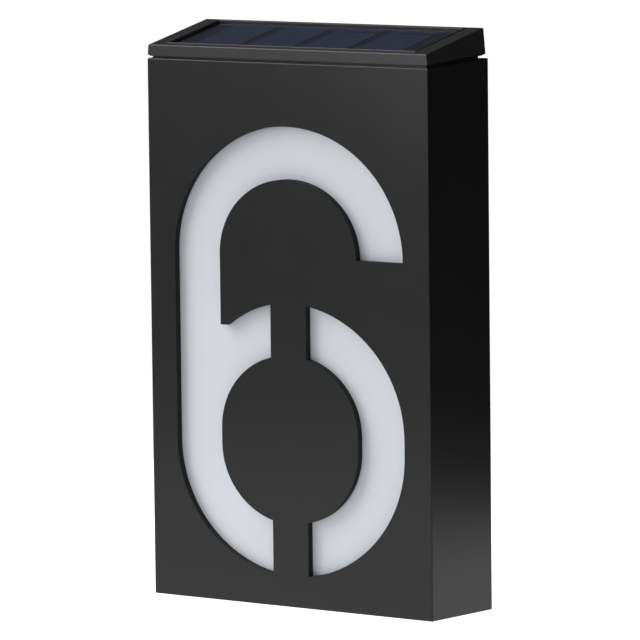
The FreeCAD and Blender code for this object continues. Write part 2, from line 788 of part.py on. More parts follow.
def build_cap():
    body = new_body("solar_cap")
    # The sides lean inwards all the way up, and a frame-shaped cut trims front, back and slope.
    over, block_height = 2.0, 14.0
    spread = (s.cap_rear_half - s.cap_foot_half) / s.cap_foot_length
    foot = cap_plane_sketch(body)
    front_half = s.cap_foot_half - over * spread
    rear_half = s.cap_rear_half + over * spread
    add_outline(foot, [
        (-front_half, -over), (front_half, -over),
        (rear_half, s.cap_foot_length + over), (-rear_half, s.cap_foot_length + over),
    ])
    pad(body, foot, block_height, taper=-s.cap_side_lean)
    trim = new_sketch(body, "YZ_Plane")
    below, above, beyond = CAP_FOOT - 2 * over, CAP_TOP + block_height, as_size(4 * over)
    rise = tangent(s.cap_slope)
    rear_top = s.cap_top_length * cosine(s.cap_slope)
    rear_foot = rear_top + s.cap_rear_lean
    add_outline(trim, [
        (FRONT, below), (FRONT + rear_foot, below),
        (FRONT + rear_top, CAP_TOP + rear_top * rise), (FRONT, CAP_TOP),
    ])
    add_outline(trim, [
        (FRONT - beyond, below - over), (beyond, below - over),
        (beyond, above), (FRONT - beyond, above),
    ])
    pocket(body, trim, 2 * s.cap_rear_half + 2 * over, both=True)
    chamfer(body, s.cap_bevel_run, s.cap_bevel_rise, foot_edge_behind_front)
    chamfer(body, s.cap_front_bevel, s.cap_front_bevel, foot_edge_in_front)
    fillet(body, s.cap_edge, upper_cap_edge)

    # The panel's window has a low rim, rounded like the rest of the moulding.
    rim = cap_top_sketch(body)
    add_rectangle(rim, s.window_width, s.window_length, 0, WINDOW_MIDDLE)
    add_rectangle(rim, s.window_width + 2 * s.window_rim_width,
                  s.window_length + 2 * s.window_rim_width, 0, WINDOW_MIDDLE)
    pad(body, rim, s.window_rim_rise)
    window = cap_top_sketch(body)
    add_rectangle(window, s.window_width, s.window_length, 0, WINDOW_MIDDLE)
    pocket(body, window, s.window_depth)
    fillet(body, s.window_edge, window_rim_edge)

    # The underside is hollow behind its thin front, up to the floor of the panel's recess.
    hollow = new_sketch(body, "YZ_Plane")
    floor = CAP_TOP - (s.window_depth + s.cap_floor) / cosine(s.cap_slope)
    add_outline(hollow, [
        (FRONT + s.cap_hollow_front, CAP_FOOT - over), (FRONT + s.cap_hollow_rear, CAP_FOOT - over),
        (FRONT + s.cap_hollow_rear, floor + s.cap_hollow_rear * rise),
        (FRONT + s.cap_hollow_front, floor + s.cap_hollow_front * rise),
    ])
    pocket(body, hollow, 2 * s.cap_hollow_half, both=True)

    pilots = cap_plane_sketch(body)
    add_circles(pilots, s.cap_screw_pilot, cap_screw_points())
    pocket(body, pilots, s.cap_screw_pilot_depth, back=True)
    leads = cap_top_sketch(body)
    add_circle(leads, s.lead_hole_radius * 0.8, s.lead_hole_x, s.lead_hole_run)
    pocket(body, leads, 2 * (s.window_depth + s.cap_floor))


def height_over_cap_foot(point):
    """Distance of a point above the plane of the cap's underside."""
    tilt = math.radians(CAP_TILT.value)
    normal = Vector(0, -math.sin(tilt), math.cos(tilt))
    return (point - Vector(0, FRONT.value, CAP_FOOT.value)).dot(normal)


def foot_edge_in_front(edge):
    return (all(abs(height_over_cap_foot(v.Point)) < 0.01 for v in edge.Vertexes)
            and edge.BoundBox.YMax < FRONT.value + 0.01)


def foot_edge_behind_front(edge):
    return (all(abs(height_over_cap_foot(v.Point)) < 0.01 for v in edge.Vertexes)
            and edge.BoundBox.YMax > FRONT.value + 0.01)


def window_rim_edge(edge):
    """Edges on top of the rim round the panel's window."""
    slope = math.radians(s.cap_slope.value)
    for vertex in edge.Vertexes:
        point = vertex.Point - Vector(0, FRONT.value, CAP_TOP.value)
        rise = point.z * math.cos(slope) - point.y * math.sin(slope)
        if abs(rise - s.window_rim_rise.value) > 0.01:
            return False
    return True


def upper_cap_edge(edge):
    heights = [height_over_cap_foot(v.Point) for v in edge.Vertexes]
    return max(heights) > float(s.cap_front_height) / 2


def panel_layer(width, length, thickness, top_drop, x=0):
    """A flat block under the cap's window: its upper face lies top_drop under the top plane."""
    block = doc.addObject("Part::Box", "layer")
    bind(block, Length=width, Width=length, Height=thickness)
    local = Vector(float(x) - float(width) / 2, float(WINDOW_MIDDLE) - float(length) / 2,
                   -float(top_drop) - float(thickness))
    tilt = Rotation(X_AXIS, float(s.cap_slope))
    base = Vector(0, FRONT.value, CAP_TOP.value)
    block.Placement = Placement(base, tilt).multiply(Placement(local, Rotation()))
    return block


def build_panel():
    width = s.window_width - 2 * s.panel_clearance
    length = s.window_length - 2 * s.panel_clearance
    cell_drop = s.panel_drop + s.panel_cover_thickness
    board_drop = cell_drop + s.cell_thickness
    tape_drop = board_drop + s.panel_board_thickness
    band = 2 * s.panel_tape_width
    cover = panel_layer(width, length, s.panel_cover_thickness, s.panel_drop)
    board = panel_layer(width, length, s.panel_board_thickness, board_drop)
    tape = panel_layer(width, length, s.panel_tape_thickness, tape_drop)
    gap = panel_layer(width - band, length - band, s.panel_tape_thickness, tape_drop)
    node(cover, "panel_cover")
    node(board, "solar_panel_board")
    node(cut(tape, gap, "panel_adhesive"), "panel_adhesive")

    pitch = s.cell_width + s.cell_gap
    cells = []
    for step in (-1.5, -0.5, 0.5, 1.5):
        cells.append(panel_layer(s.cell_width, s.cell_length, s.cell_thickness, cell_drop,
                                 pitch * step))
    group = doc.addObject("Part::Compound", "solar_cells")
    group.Links = cells
    node(group, "solar_cells")


def on_cap_plane(x, run, rise):
    """Placement square to the cap's underside at x and run, rise above it."""
    base = Placement(Vector(0, FRONT.value, CAP_FOOT.value), Rotation(X_AXIS, CAP_TILT.value))
    return base.multiply(Placement(Vector(float(x), float(run), float(rise)), Rotation()))


def roof_inside(run):
    """How far the inside of the roof lies under the cap's underside, with a hair of play."""
    play = 0.1
    return s.wall + s.cap_gap + run * tangent(s.cap_gap_growth) + play


def build_cap_fastening():
    width, length, middle = gasket_outline()
    rings = []
    for across, along in ((width, length),
                          (width - 2 * s.gasket_width, length - 2 * s.gasket_width)):
        block = doc.addObject("Part::Box", "gasket_block")
        bind(block, Length=across, Width=along, Height=s.gasket_depth)
        block.Placement = on_cap_plane(-across / 2, middle - along / 2, -s.gasket_depth)
        rings.append(block)
    node(cut(rings[0], rings[1], "cap_gasket"), "cap_gasket")

    head_down = Placement(Vector(0, 0, 0), Rotation(X_AXIS, 180))
    places = []
    for x, run in cap_screw_points():
        places.append(on_cap_plane(x, run, -roof_inside(run)).multiply(head_down))
    repeat("cap_screws", screw_master("cap"), places)

    # The grommet's barrel fills the lead hole, and a flange holds it on each side of the roof.
    body = new_body("wire_grommet")
    profile = new_sketch(body, "XZ_Plane")
    bore, barrel, flange, lip, round_off, play = 1.9, 3.1, 4.4, 0.8, 0.4, 0.05
    under = -roof_inside(s.lead_hole_run)
    add_outline(profile, [
        (bore, lip), (flange - round_off, lip), (flange, play), (barrel, play), (barrel, under),
        (flange, under), (flange - round_off, under - lip), (bore, under - lip),
    ])
    revolve(body, profile)
    body.Placement = on_cap_plane(s.lead_hole_x, s.lead_hole_run, 0)


# ---------------------------------------------------------------- back cover

def corner_edge(edge):
    """Edges that run straight from front to back."""
    return edge.BoundBox.XLength < 0.01 and edge.BoundBox.ZLength < 0.01


def door_screw_points():
    for side in (-1, 1):
        yield s.door_screw_spread * side, s.bay_middle


def board_screw_points():
    for side in (-1, 1):
        yield s.board_screw_spread * side, s.board_middle


def build_back_cover():
    body = new_body("back_cover")
    width = REAR_WIDTH - 2 * s.rim_lip - 2 * s.cover_clearance
    height = REAR_HEIGHT - 2 * s.rim_lip - 2 * s.cover_clearance
    plate = new_sketch(body, "XZ_Plane")
    add_rectangle(plate, width, height, 0, MIDDLE)
    pad(body, plate, s.cover_thickness)
    fillet(body, s.cover_corner, corner_edge)

    door_frame = new_sketch(body, "XZ_Plane", s.cover_thickness)
    add_rectangle(door_frame, s.frame_length, s.frame_width, 0, s.bay_middle)
    pad(body, door_frame, s.frame_depth - s.cover_thickness)
    bay = new_sketch(body, "XZ_Plane", s.frame_depth)
    add_rectangle(bay, s.bay_length + 2 * s.bay_wall, s.bay_width + 2 * s.bay_wall, 0, s.bay_middle)
    pad(body, bay, s.bay_floor + s.bay_wall - s.frame_depth)
    chambers = new_sketch(body, "XZ_Plane", s.cover_thickness)
    chamber_rise = s.keyhole_rise / 2
    for side in (-1, 1):
        add_rectangle(chambers, s.chamber_width + 2 * s.chamber_wall,
                      s.chamber_height + 2 * s.chamber_wall, s.keyhole_spread * side, chamber_rise)
    pad(body, chambers, s.chamber_depth + s.chamber_wall)

    board_posts = new_sketch(body, "XZ_Plane", s.cover_thickness)
    add_circles(board_posts, s.board_post_radius, board_screw_points())
    pad(body, board_posts, s.board_face - s.cover_thickness)
    door_posts = new_sketch(body, "XZ_Plane", s.frame_depth)
    add_circles(door_posts, s.door_post_radius, door_screw_points())
    pad(body, door_posts, s.door_post_length)

    # Stiffening ribs on the inside, clear of the bay and the board.
    ribs = new_sketch(body, "XZ_Plane", s.cover_thickness)
    upright_spread, upright_length, upright_middle = 14.0, 40.0, -16.0
    cross_length, upper_cross, lower_cross = 60.0, 24.0, -114.0
    for side in (-1, 1):
        add_rectangle(ribs, s.stiffener, upright_length, upright_spread * side, upright_middle)
    for height in (upper_cross, lower_cross):
        add_rectangle(ribs, cross_length, s.stiffener, 0, height)
    pad(body, ribs, s.stiffener_rise)

    recess = new_sketch(body, "XZ_Plane")
    add_rectangle(recess, s.door_length + 2 * s.door_clearance, s.door_width + 2 * s.door_clearance,
                  0, s.bay_middle)
    pocket(body, recess, s.door_thickness, back=True)
    land = new_sketch(body, "XZ_Plane", s.door_thickness)
    seal_length, seal_height = seal_size()
    seal_play = 0.2
    add_rectangle(land, seal_length + seal_play, seal_height + seal_play, 0, s.bay_middle)
    pocket(body, land, s.seal_thickness, back=True)
    well = new_sketch(body, "XZ_Plane", s.door_thickness)
    add_rectangle(well, s.bay_length, s.bay_width, 0, s.bay_middle)
    pocket(body, well, s.bay_floor - s.door_thickness, back=True)
    # The contacts' tabs pass through slits in the bay's floor.
    slits = new_sketch(body, "XZ_Plane", s.bay_floor)
    slit = 2 * s.contact_thickness
    for side in (-1, 1):
        add_rectangle(slits, slit, s.contact_tab + s.contact_thickness,
                      (s.bay_length - slit) / 2 * side, s.bay_middle)
    pocket(body, slits, s.bay_wall, back=True)

    # Each keyhole opens into a blind chamber for the head of a wall screw.
    entries = new_sketch(body, "XZ_Plane")
    slots = new_sketch(body, "XZ_Plane")
    chamber_holes = new_sketch(body, "XZ_Plane", s.cover_thickness)
    for side in (-1, 1):
        x = s.keyhole_spread * side
        add_circle(entries, s.keyhole_radius, x, 0)
        add_rectangle(slots, s.keyhole_slot, s.keyhole_rise, x, s.keyhole_rise / 2)
        add_rectangle(chamber_holes, s.chamber_width, s.chamber_height, x, chamber_rise)
    pocket(body, chamber_holes, s.chamber_depth, back=True)
    pocket(body, entries, s.cover_thickness, back=True)
    pocket(body, slots, s.cover_thickness, back=True)
    ends = new_sketch(body, "XZ_Plane")
    for side in (-1, 1):
        add_circle(ends, s.keyhole_slot / 2, s.keyhole_spread * side, s.keyhole_rise)
    pocket(body, ends, s.cover_thickness, back=True)

    # The switch's knob stands in a finger dish, in a slot as long as its travel.
    dish = new_sketch(body, "XZ_Plane")
    add_rectangle(dish, s.dish_length, s.dish_width, 0, s.board_middle)
    pocket(body, dish, s.dish_depth, back=True)
    slide_slot = new_sketch(body, "XZ_Plane", s.dish_depth)
    slot_play = 0.8
    add_rectangle(slide_slot, s.knob_length + s.switch_travel + slot_play,
                  s.knob_width + slot_play, 0, s.board_middle)
    pocket(body, slide_slot, s.cover_thickness - s.dish_depth, back=True)

    sink_screws(body, "cover", s.cover_thickness, cover_screw_points)
    board_pilots = new_sketch(body, "XZ_Plane", s.board_face)
    add_circles(board_pilots, s.board_screw_pilot, board_screw_points())
    pocket(body, board_pilots, s.board_screw_pilot_depth)
    door_pilots = new_sketch(body, "XZ_Plane", s.door_thickness)
    add_circles(door_pilots, s.door_screw_pilot, door_screw_points())
    pocket(body, door_pilots, s.door_screw_pilot_depth, back=True)


def sink_screws(body, kind, thickness, points):
    """Counterbored holes through a plate whose outer face is the rear plane."""
    radius, depth = COUNTERBORES[kind]
    bores = new_sketch(body, "XZ_Plane")
    add_circles(bores, radius, points())
    pocket(body, bores, depth, back=True)
    passages = new_sketch(body, "XZ_Plane", depth)
    add_circles(passages, screw_sizes(kind, "passage")[0], points())
    pocket(body, passages, thickness - depth, back=True)


def seal_size():
    """Outer size of the battery door's seal, round the mouth of the bay."""
    land = 0.8
    reach = 2 * (s.seal_width + land)
    return s.bay_length + reach, s.bay_width + reach


def ring(name, width, height, band, thickness, y, z):
    """A flat rectangular ring that faces the back, its front face at y."""
    outer = make_box(width, thickness, height, 0, y, z - height / 2)
    inner = make_box(width - 2 * band, thickness, height - 2 * band, 0, y, z - height / 2 + band)
    return node(cut(outer, inner, name), name)


def drive_screws(kind, name, head_seat, points, turn=-90):
    """Screws at those points whose heads sit on that plane and face the rear, or the front."""
    places = [spot(x, head_seat, z, X_AXIS, turn) for x, z in points]
    repeat(name, screw_master(kind), places)


def build_cover_pieces():
    play, band = 0.1, 1.1
    width = REAR_WIDTH - 2 * s.rim_lip - play
    height = REAR_HEIGHT - 2 * s.rim_lip - play
    thickness = s.rebate_depth - s.cover_thickness
    ring("back_cover_seal", width, height, as_size(band), thickness, -s.rebate_depth, MIDDLE)
    drive_screws("cover", "back_cover_screws", -COUNTERBORES["cover"][1], cover_screw_points())
    drive_screws("tray", "tray_screws", TRAY_BACK, tray_screw_points())


def build_battery_door():
    body = new_body("battery_door")
    plate = new_sketch(body, "XZ_Plane")
    add_rectangle(plate, s.door_length, s.door_width, 0, s.bay_middle)
    pad(body, plate, s.door_thickness)
    corner_radius = 0.8
    fillet(body, corner_radius, corner_edge)
    grips = new_sketch(body, "XZ_Plane")
    grip_width, grip_length, grip_pitch, grip_depth = 1.0, 9.0, 2.2, 0.5
    for step in range(-2, 3):
        add_rectangle(grips, grip_width, grip_length, step * grip_pitch, s.bay_middle)
    pocket(body, grips, grip_depth, back=True)
    sink_screws(body, "door", s.door_thickness, door_screw_points)

    width, height = seal_size()
    ring("battery_door_seal", width, height, s.seal_width, s.seal_thickness,
         -s.door_thickness - s.seal_thickness, s.bay_middle)
    drive_screws("door", "battery_door_screws", -COUNTERBORES["door"][1], door_screw_points())


# ---------------------------------------------------------------- battery and its contacts

WIRE_SIDES = 8                   # thin wires have eight sides in place of a round section


def build_battery():
    positive_end = s.bay_length / 2 - s.contact_thickness
    body = new_body("battery_cell")
    profile = new_sketch(body, "XY_Plane")
    radius, length, nub = s.battery_radius, s.battery_length, s.battery_nub_radius
    crimp, nub_height = 0.4, 1.0
    add_outline(profile, [
        (0, 0), (radius - 2 * crimp, 0), (radius, crimp), (radius, length - nub_height - crimp),
        (radius - crimp, length - nub_height), (nub, length - nub_height), (nub, length),
        (0, length),
    ])
    revolve(body, profile)
    place(body, positive_end - length, -s.battery_axis, s.bay_middle, Z_AXIS, -90)

    tab_end = s.bay_floor + s.bay_wall + 1.3
    tab_reach = tab_end - s.battery_axis
    plates = []
    for side in (-1, 1):
        x = (s.bay_length / 2 - s.contact_thickness / 2) * side
        face = make_box(s.contact_thickness, s.contact_size, s.contact_size, x,
                        -s.battery_axis - s.contact_size / 2, s.bay_middle - s.contact_size / 2)
        foot = make_box(s.contact_thickness, tab_reach, s.contact_tab, x,
                        -tab_end, s.bay_middle - s.contact_tab / 2)
        plates.append([face, foot])
    node(fuse(plates[1], "battery_plate_contact"), "battery_plate_contact")

    # The coil narrows towards the cell, and its first turn is sunk a little into the plate.
    gap = s.bay_length - 2 * s.contact_thickness - length
    clearance, sunk, cone_angle = 0.05, 0.2, -12.0
    coil = doc.addObject("Part::Helix", "coil")
    coil.LocalCoord = 0
    coil.Style = 1
    coil_length = gap - (2 - sunk) * s.spring_wire - clearance
    bind(coil, Pitch=coil_length / s.spring_turns, Height=coil_length, Radius=s.spring_radius)
    coil.Angle = cone_angle
    turn = doc.addObject("Part::RegularPolygon", "wire_section")
    turn.Polygon = WIRE_SIDES
    bind(turn, Circumradius=s.spring_wire)
    turn.Placement = Placement(Vector(s.spring_radius.value, 0, 0), Rotation(X_AXIS, 90))
    spring = doc.addObject("Part::Sweep", "spring")
    spring.Sections = [turn]
    spring.Spine = coil
    spring.Solid = True
    spring.Frenet = True
    start = -(s.bay_length / 2) + s.contact_thickness + s.spring_wire * (1 - sunk)
    place(spring, start, -s.battery_axis, s.bay_middle, Y_AXIS, 90)
    node(fuse(plates[0] + [spring], "battery_spring_contact"), "battery_spring_contact")


# ---------------------------------------------------------------- control board and switch

BOARD_FRONT = -s.board_face - s.board_thickness
BOARD_TOP = s.board_middle + s.board_width / 2
HEADER_FOOT = BOARD_TOP - s.header_height


def stand_on_board(name, profile_points, x, z):
    """A turned piece whose axis is square to the control board, from its profile."""
    body = new_body(name)
    profile = new_sketch(body, "XY_Plane")
    add_outline(profile, profile_points)
    revolve(body, profile)
    place(body, x, BOARD_FRONT, z, X_AXIS, 180)


def build_control_board():
    plate = make_box(s.board_length, s.board_thickness, s.board_width, 0, BOARD_FRONT,
                     s.board_middle - s.board_width / 2)
    holes = []
    for x, z in board_screw_points():
        holes.append(make_cylinder(s.board_screw_passage, 3 * s.board_thickness, x,
                                   BOARD_FRONT + 2 * s.board_thickness, z, X_AXIS, 90))
    node(cut(plate, fuse(holes), "control_board"), "control_board")
    drive_screws("board", "board_screws", BOARD_FRONT, board_screw_points(), turn=90)

    chip_x, chip_width, chip_height, chip_depth = -6.0, 4.0, 5.0, 1.5
    chip_foot = s.board_middle - 4
    leg_span, leg_width, leg_depth, leg_pitch, legs_a_side = 1.2, 0.5, 0.3, 1.27, 4
    chip = make_box(chip_width, chip_depth, chip_height, chip_x, BOARD_FRONT - chip_depth, chip_foot)
    first_leg = chip_foot + (chip_height - (legs_a_side - 1) * leg_pitch - leg_width) / 2
    legs = []
    for side in (-1, 1):
        x = chip_x + side * (chip_width + leg_span - leg_depth) / 2
        for step in range(legs_a_side):
            legs.append(make_box(leg_span, leg_depth, leg_width, x, BOARD_FRONT - leg_depth,
                                 first_leg + step * leg_pitch))
    node(fuse([chip] + legs, "driver_chip"), "driver_chip")

    # A drum core with a waist for its winding, and a can with a crimp near its foot.
    flange, waist, drum_height, lip = 3.2, 2.1, 5.0, 0.9
    stand_on_board("power_inductor", [
        (0, 0), (flange, 0), (flange, lip), (waist, lip), (waist, drum_height - lip),
        (flange, drum_height - lip), (flange, drum_height), (0, drum_height),
    ], 8.0, s.board_middle - 5)
    can, can_height, crimp_start, crimp_end, crimp = 2.5, 7.0, 0.8, 1.6, 0.3
    stand_on_board("filter_capacitor", [
        (0, 0), (can, 0), (can, crimp_start), (can - crimp, (crimp_start + crimp_end) / 2),
        (can, crimp_end), (can, can_height), (0, can_height),
    ], 16.0, s.board_middle - 8)

    wall, play = s.header_wall, 0.1
    shell = make_box(s.header_length, s.header_depth, s.header_height)
    socket = make_box(s.header_length - 2 * wall, s.header_depth - 2 * wall, s.header_height,
                      0, wall, 2.0)
    header = cut(shell, socket)
    inset = wall + play
    plug_body = make_box(s.header_length - 2 * inset, s.header_depth - 2 * inset, s.plug_length,
                         0, inset, s.plug_rise)
    thumb_step = make_box(3.0, 0.5, 1.5, 0, inset - 0.2, s.plug_rise + 4.0)
    plug = cut(plug_body, thumb_step)
    places = []
    for side in (-1, 0, 1):
        places.append(spot(s.header_spread * side, BOARD_FRONT - s.header_depth, HEADER_FOOT))
    repeat("board_headers", header, places)
    repeat("lead_plugs", plug, places)


def build_switch():
    rest_x = -s.switch_travel / 2
    case_front = -s.board_face
    case_back = case_front + s.switch_height
    skin, play = 0.5, 0.2
    foot = s.board_middle - s.switch_width / 2
    shell = make_box(s.switch_length, s.switch_height, s.switch_width, 0, case_front, foot)
    hollow = make_box(s.switch_length - 2 * skin, s.switch_height - 2 * skin,
                      s.switch_width - 2 * skin, 0, case_front + skin, foot + skin)
    mouth = make_box(s.knob_length + s.switch_travel + 2 * play, 4 * skin,
                     s.knob_width + 2 * play, 0, case_back - 2 * skin,
                     s.board_middle - s.knob_width / 2 - play)
    node(cut(shell, fuse([hollow, mouth]), "switch_case"), "switch_case")

    inset = skin + play
    slider_length, sunk = 5.6, 0.4
    slider = make_box(slider_length, s.switch_height - 2 * inset, s.switch_width - 2 * inset,
                      rest_x, case_front + inset, foot + inset)
    knob_back = as_size(-0.4)
    stem_start = case_front + inset + sunk
    stem = make_box(s.knob_length, knob_back - stem_start, s.knob_width, rest_x, stem_start,
                    s.board_middle - s.knob_width / 2)
    groove, groove_pitch, groove_depth = 0.35, 0.85, 0.3
    grooves = []
    for step in (-1, 0, 1):
        grooves.append(make_box(groove, 1.0, 2 * s.knob_width, rest_x + step * groove_pitch,
                                knob_back - groove_depth, s.board_middle - s.knob_width))
    node(cut(fuse([slider, stem]), fuse(grooves), "switch_knob"), "switch_knob")


# ---------------------------------------------------------------- leads

def lead_solid(points):
    """A round lead along straight runs joined by tangent arcs, each as large as its runs allow."""
    spots = [Vector(float(x), float(y), float(z)) for x, y, z in points]
    edges, radii = [], []
    start = spots[0]
    for before, corner, after in zip(spots, spots[1:], spots[2:]):
        inward, outward = before - corner, after - corner
        turn = math.pi - inward.getAngle(outward)
        setback = 0.45 * min(inward.Length, outward.Length)
        radii.append(setback / math.tan(turn / 2))
        first = corner + inward.normalize() * setback
        last = corner + outward.normalize() * setback
        bisector = ((first + last) * 0.5 - corner).normalize()
        centre_gap = radii[-1] / math.cos(turn / 2)
        top = corner + bisector * (centre_gap - radii[-1])
        edges.append(Part.LineSegment(start, first).toShape())
        edges.append(Part.Arc(first, top, last).toShape())
        start = last
    edges.append(Part.LineSegment(start, spots[-1]).toShape())
    route = Part.Wire(edges)
    heading = Rotation(Z_AXIS, spots[1] - spots[0])
    ring = []
    for side in range(WIRE_SIDES + 1):
        turn = Rotation(Z_AXIS, 360.0 / WIRE_SIDES * side)
        ring.append(spots[0] + (heading * turn).multVec(X_AXIS * float(s.lead_radius)))
    section = Part.makePolygon(ring)
    solid = route.makePipeShell([section], True, True)
    wanted = Part.Face(section).Area * route.Length
    print("lead %.1f mm long, least radius %.1f, volume %.3f of its section times its length"
          % (route.Length, min(radii), solid.Volume / wanted))
    return solid


def add_leads(name, routes):
    feature = doc.addObject("Part::Feature", name)
    feature.Shape = Part.makeCompound([lead_solid(route) for route in routes])
    feature.Placement = Placement()
    node(feature, name)


# Each pair rises from its plug on the control board and runs to its own place.
PLUG_TOP = HEADER_FOOT + s.plug_rise + s.plug_length
PLUG_Y = BOARD_FRONT - s.header_depth / 2


def build_battery_leads():
    tab_x = s.bay_length / 2 + s.lead_radius
    tab_y = -s.bay_floor - 2.5
    bend = PLUG_TOP + 4.0
    routes = []
    for side in (-1, 1):
        x = side * s.lead_pitch / 2
        routes.append([
            (x, PLUG_Y, PLUG_TOP), (x, PLUG_Y, bend), (side * 13.0, -15.2, bend),
            (side * tab_x, tab_y, s.bay_middle - 13.0), (side * tab_x, tab_y, s.bay_middle + 1.0),
        ])
    add_leads("battery_leads", routes)


def build_led_leads():
    solder_x = 3.2
    face = TRAY_FLOOR - s.led_board_thickness - s.lead_radius
    routes = []
    for side in (-1, 1):
        x = s.header_spread + side * s.lead_pitch / 2
        z = s.led_lead_height + side * 0.8
        routes.append([
            (x, PLUG_Y, PLUG_TOP), (x, PLUG_Y, PLUG_TOP + 5.0 + side),
            (s.led_lead_x, PLUG_Y - 2.0, z), (s.led_lead_x, face, z), (solder_x, face, z),
        ])
    add_leads("led_leads", routes)


def build_panel_leads():
    hole = on_cap_plane(s.lead_hole_x, s.lead_hole_run, 0)
    half_gap, above, below = 0.9, 2.4, 12.0
    wall_x, wall_y, wall_top, wall_foot = -42.0, -12.5, 16.0, -54.0
    routes = []
    for side in (-1, 1):
        step = side * 0.5
        top = hole.multVec(Vector(side * half_gap, 0, above))
        under = hole.multVec(Vector(side * half_gap, 0, -below - step))
        drop_x = wall_x + side * half_gap
        x = -s.header_spread + side * s.lead_pitch / 2
        routes.append([
            tuple(top), tuple(under), (drop_x, wall_y, wall_top - step),
            (drop_x, wall_y, wall_foot + step), (x, PLUG_Y, PLUG_TOP + 6.0 + side),
            (x, PLUG_Y, PLUG_TOP),
        ])
    add_leads("panel_leads", routes)


# ---------------------------------------------------------------- build, check and write

build_front_housing()
build_diffuser()
build_tray()
build_leds()
build_cap()
build_panel()
build_cap_fastening()
build_back_cover()
build_cover_pieces()
build_battery_door()
build_battery()
build_control_board()
build_switch()
build_battery_leads()
build_led_leads()
build_panel_leads()
doc.recompute()

for thing in doc.Objects:
    if "Invalid" in thing.State or "Error" in thing.State:
        raise RuntimeError("%s is %s" % (thing.Name, thing.State))
for piece in NODES:
    if piece.Shape.isNull() or not piece.Shape.isValid():
        raise RuntimeError("%s has no valid shape" % piece.Label)

os.makedirs("parts", exist_ok=True)
for piece in NODES:
    piece.Shape.exportStep("parts/%s.step" % piece.Label)
print("%d nodes written" % len(NODES))
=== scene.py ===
"""The looks of the solar house number sign: a drafted black box with a stencilled numeral and a
white diffuser behind it, under a wedge cap with a solar panel. Lengths are in metres."""

import math

import bmesh
import bpy
from mathutils import Matrix, Quaternion, Vector


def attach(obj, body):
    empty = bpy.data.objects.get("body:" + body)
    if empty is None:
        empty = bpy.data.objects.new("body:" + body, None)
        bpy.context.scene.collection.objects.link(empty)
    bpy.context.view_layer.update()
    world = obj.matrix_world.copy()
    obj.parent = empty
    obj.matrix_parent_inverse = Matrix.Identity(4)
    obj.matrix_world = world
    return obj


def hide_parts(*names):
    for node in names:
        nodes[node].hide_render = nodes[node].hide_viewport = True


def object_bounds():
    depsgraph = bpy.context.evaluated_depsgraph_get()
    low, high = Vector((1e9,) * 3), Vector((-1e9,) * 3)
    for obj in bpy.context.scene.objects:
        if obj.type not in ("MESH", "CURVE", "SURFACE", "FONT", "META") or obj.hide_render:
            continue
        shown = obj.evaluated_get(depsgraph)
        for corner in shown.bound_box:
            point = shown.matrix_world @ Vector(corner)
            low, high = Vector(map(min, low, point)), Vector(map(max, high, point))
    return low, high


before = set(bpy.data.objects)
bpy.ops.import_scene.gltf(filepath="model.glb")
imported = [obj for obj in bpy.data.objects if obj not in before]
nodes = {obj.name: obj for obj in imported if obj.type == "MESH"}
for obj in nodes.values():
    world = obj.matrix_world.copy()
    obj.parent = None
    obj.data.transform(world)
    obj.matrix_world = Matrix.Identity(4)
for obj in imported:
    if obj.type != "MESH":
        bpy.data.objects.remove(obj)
cad_box = [list(corner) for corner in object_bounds()]
low_corner = Vector(cad_box[0])

# ---------------------------------------------------------------- camera
# The sign is seen from its front right, from a little above, through a long lens, with the
# picture turned by less than a degree.
AIM_ACROSS, AIM_UP = 0.01228, -0.03636
CAMERA_AWAY = 1.7136
SENSOR, LENS = 36, 303.4
azimuth, elevation, roll = math.radians(33.82), math.radians(6.92), math.radians(-0.648)

aim = Vector((AIM_ACROSS, low_corner.y, AIM_UP))
towards_camera = Vector((
    math.sin(azimuth) * math.cos(elevation),
    -math.cos(azimuth) * math.cos(elevation),
    math.sin(elevation),
))
camera = bpy.data.objects.new("camera", bpy.data.cameras.new("camera"))
camera.data.sensor_width = SENSOR
camera.data.lens = LENS
camera.location = aim + CAMERA_AWAY * towards_camera
camera.rotation_mode = "QUATERNION"
upright = (-towards_camera).to_track_quat("-Z", "Y")
camera.rotation_quaternion = upright @ Quaternion((0, 0, 1), roll)
camera.data.clip_start, camera.data.clip_end = 0.05, 60
bpy.context.scene.collection.objects.link(camera)
bpy.context.scene.camera = camera
bpy.context.scene.view_settings.view_transform = "Standard"

# ---------------------------------------------------------------- floor and light
# The sign stands on a pale floor that looks white all round. The shine of the plastic shows
# only a round reflector that lies on the floor, in a studio whose far end is dark.
FLOOR_GAP = 0.0002
ROUND_SIDES = 96
TABLE_RADIUS = 0.32
REFLECTOR_RADIUS = 0.335
REFLECTOR_MIDDLE = (-0.05, -0.115)
FLOOR_RADIUS = 9.0
WALL_HEIGHT = 5.0
floor_height = low_corner.z - FLOOR_GAP


def new_finish(name, colour, roughness, metallic=0.0):
    """A new material, with the plain values set on its shader."""
    finish = bpy.data.materials.new(name)
    finish.use_nodes = True
    shader = finish.node_tree.nodes["Principled BSDF"]
    shader.inputs["Base Color"].default_value = (*colour, 1)
    shader.inputs["Roughness"].default_value = roughness
    shader.inputs["Metallic"].default_value = metallic
    return finish


def new_glowing_finish(name, colour, glow):
    """A matt material that gives off a little white light of its own."""
    finish = new_finish(name, colour, 1.0)
    shader = finish.node_tree.nodes["Principled BSDF"]
    shader.inputs["Specular IOR Level"].default_value = 0
    shader.inputs["Emission Color"].default_value = (1, 1, 1, 1)
    shader.inputs["Emission Strength"].default_value = glow
    return finish


def feed(finish, name, source):
    """The source, a node socket, sets that value of the finish's shader."""
    tree = finish.node_tree
    tree.links.new(source, tree.nodes["Principled BSDF"].inputs[name])


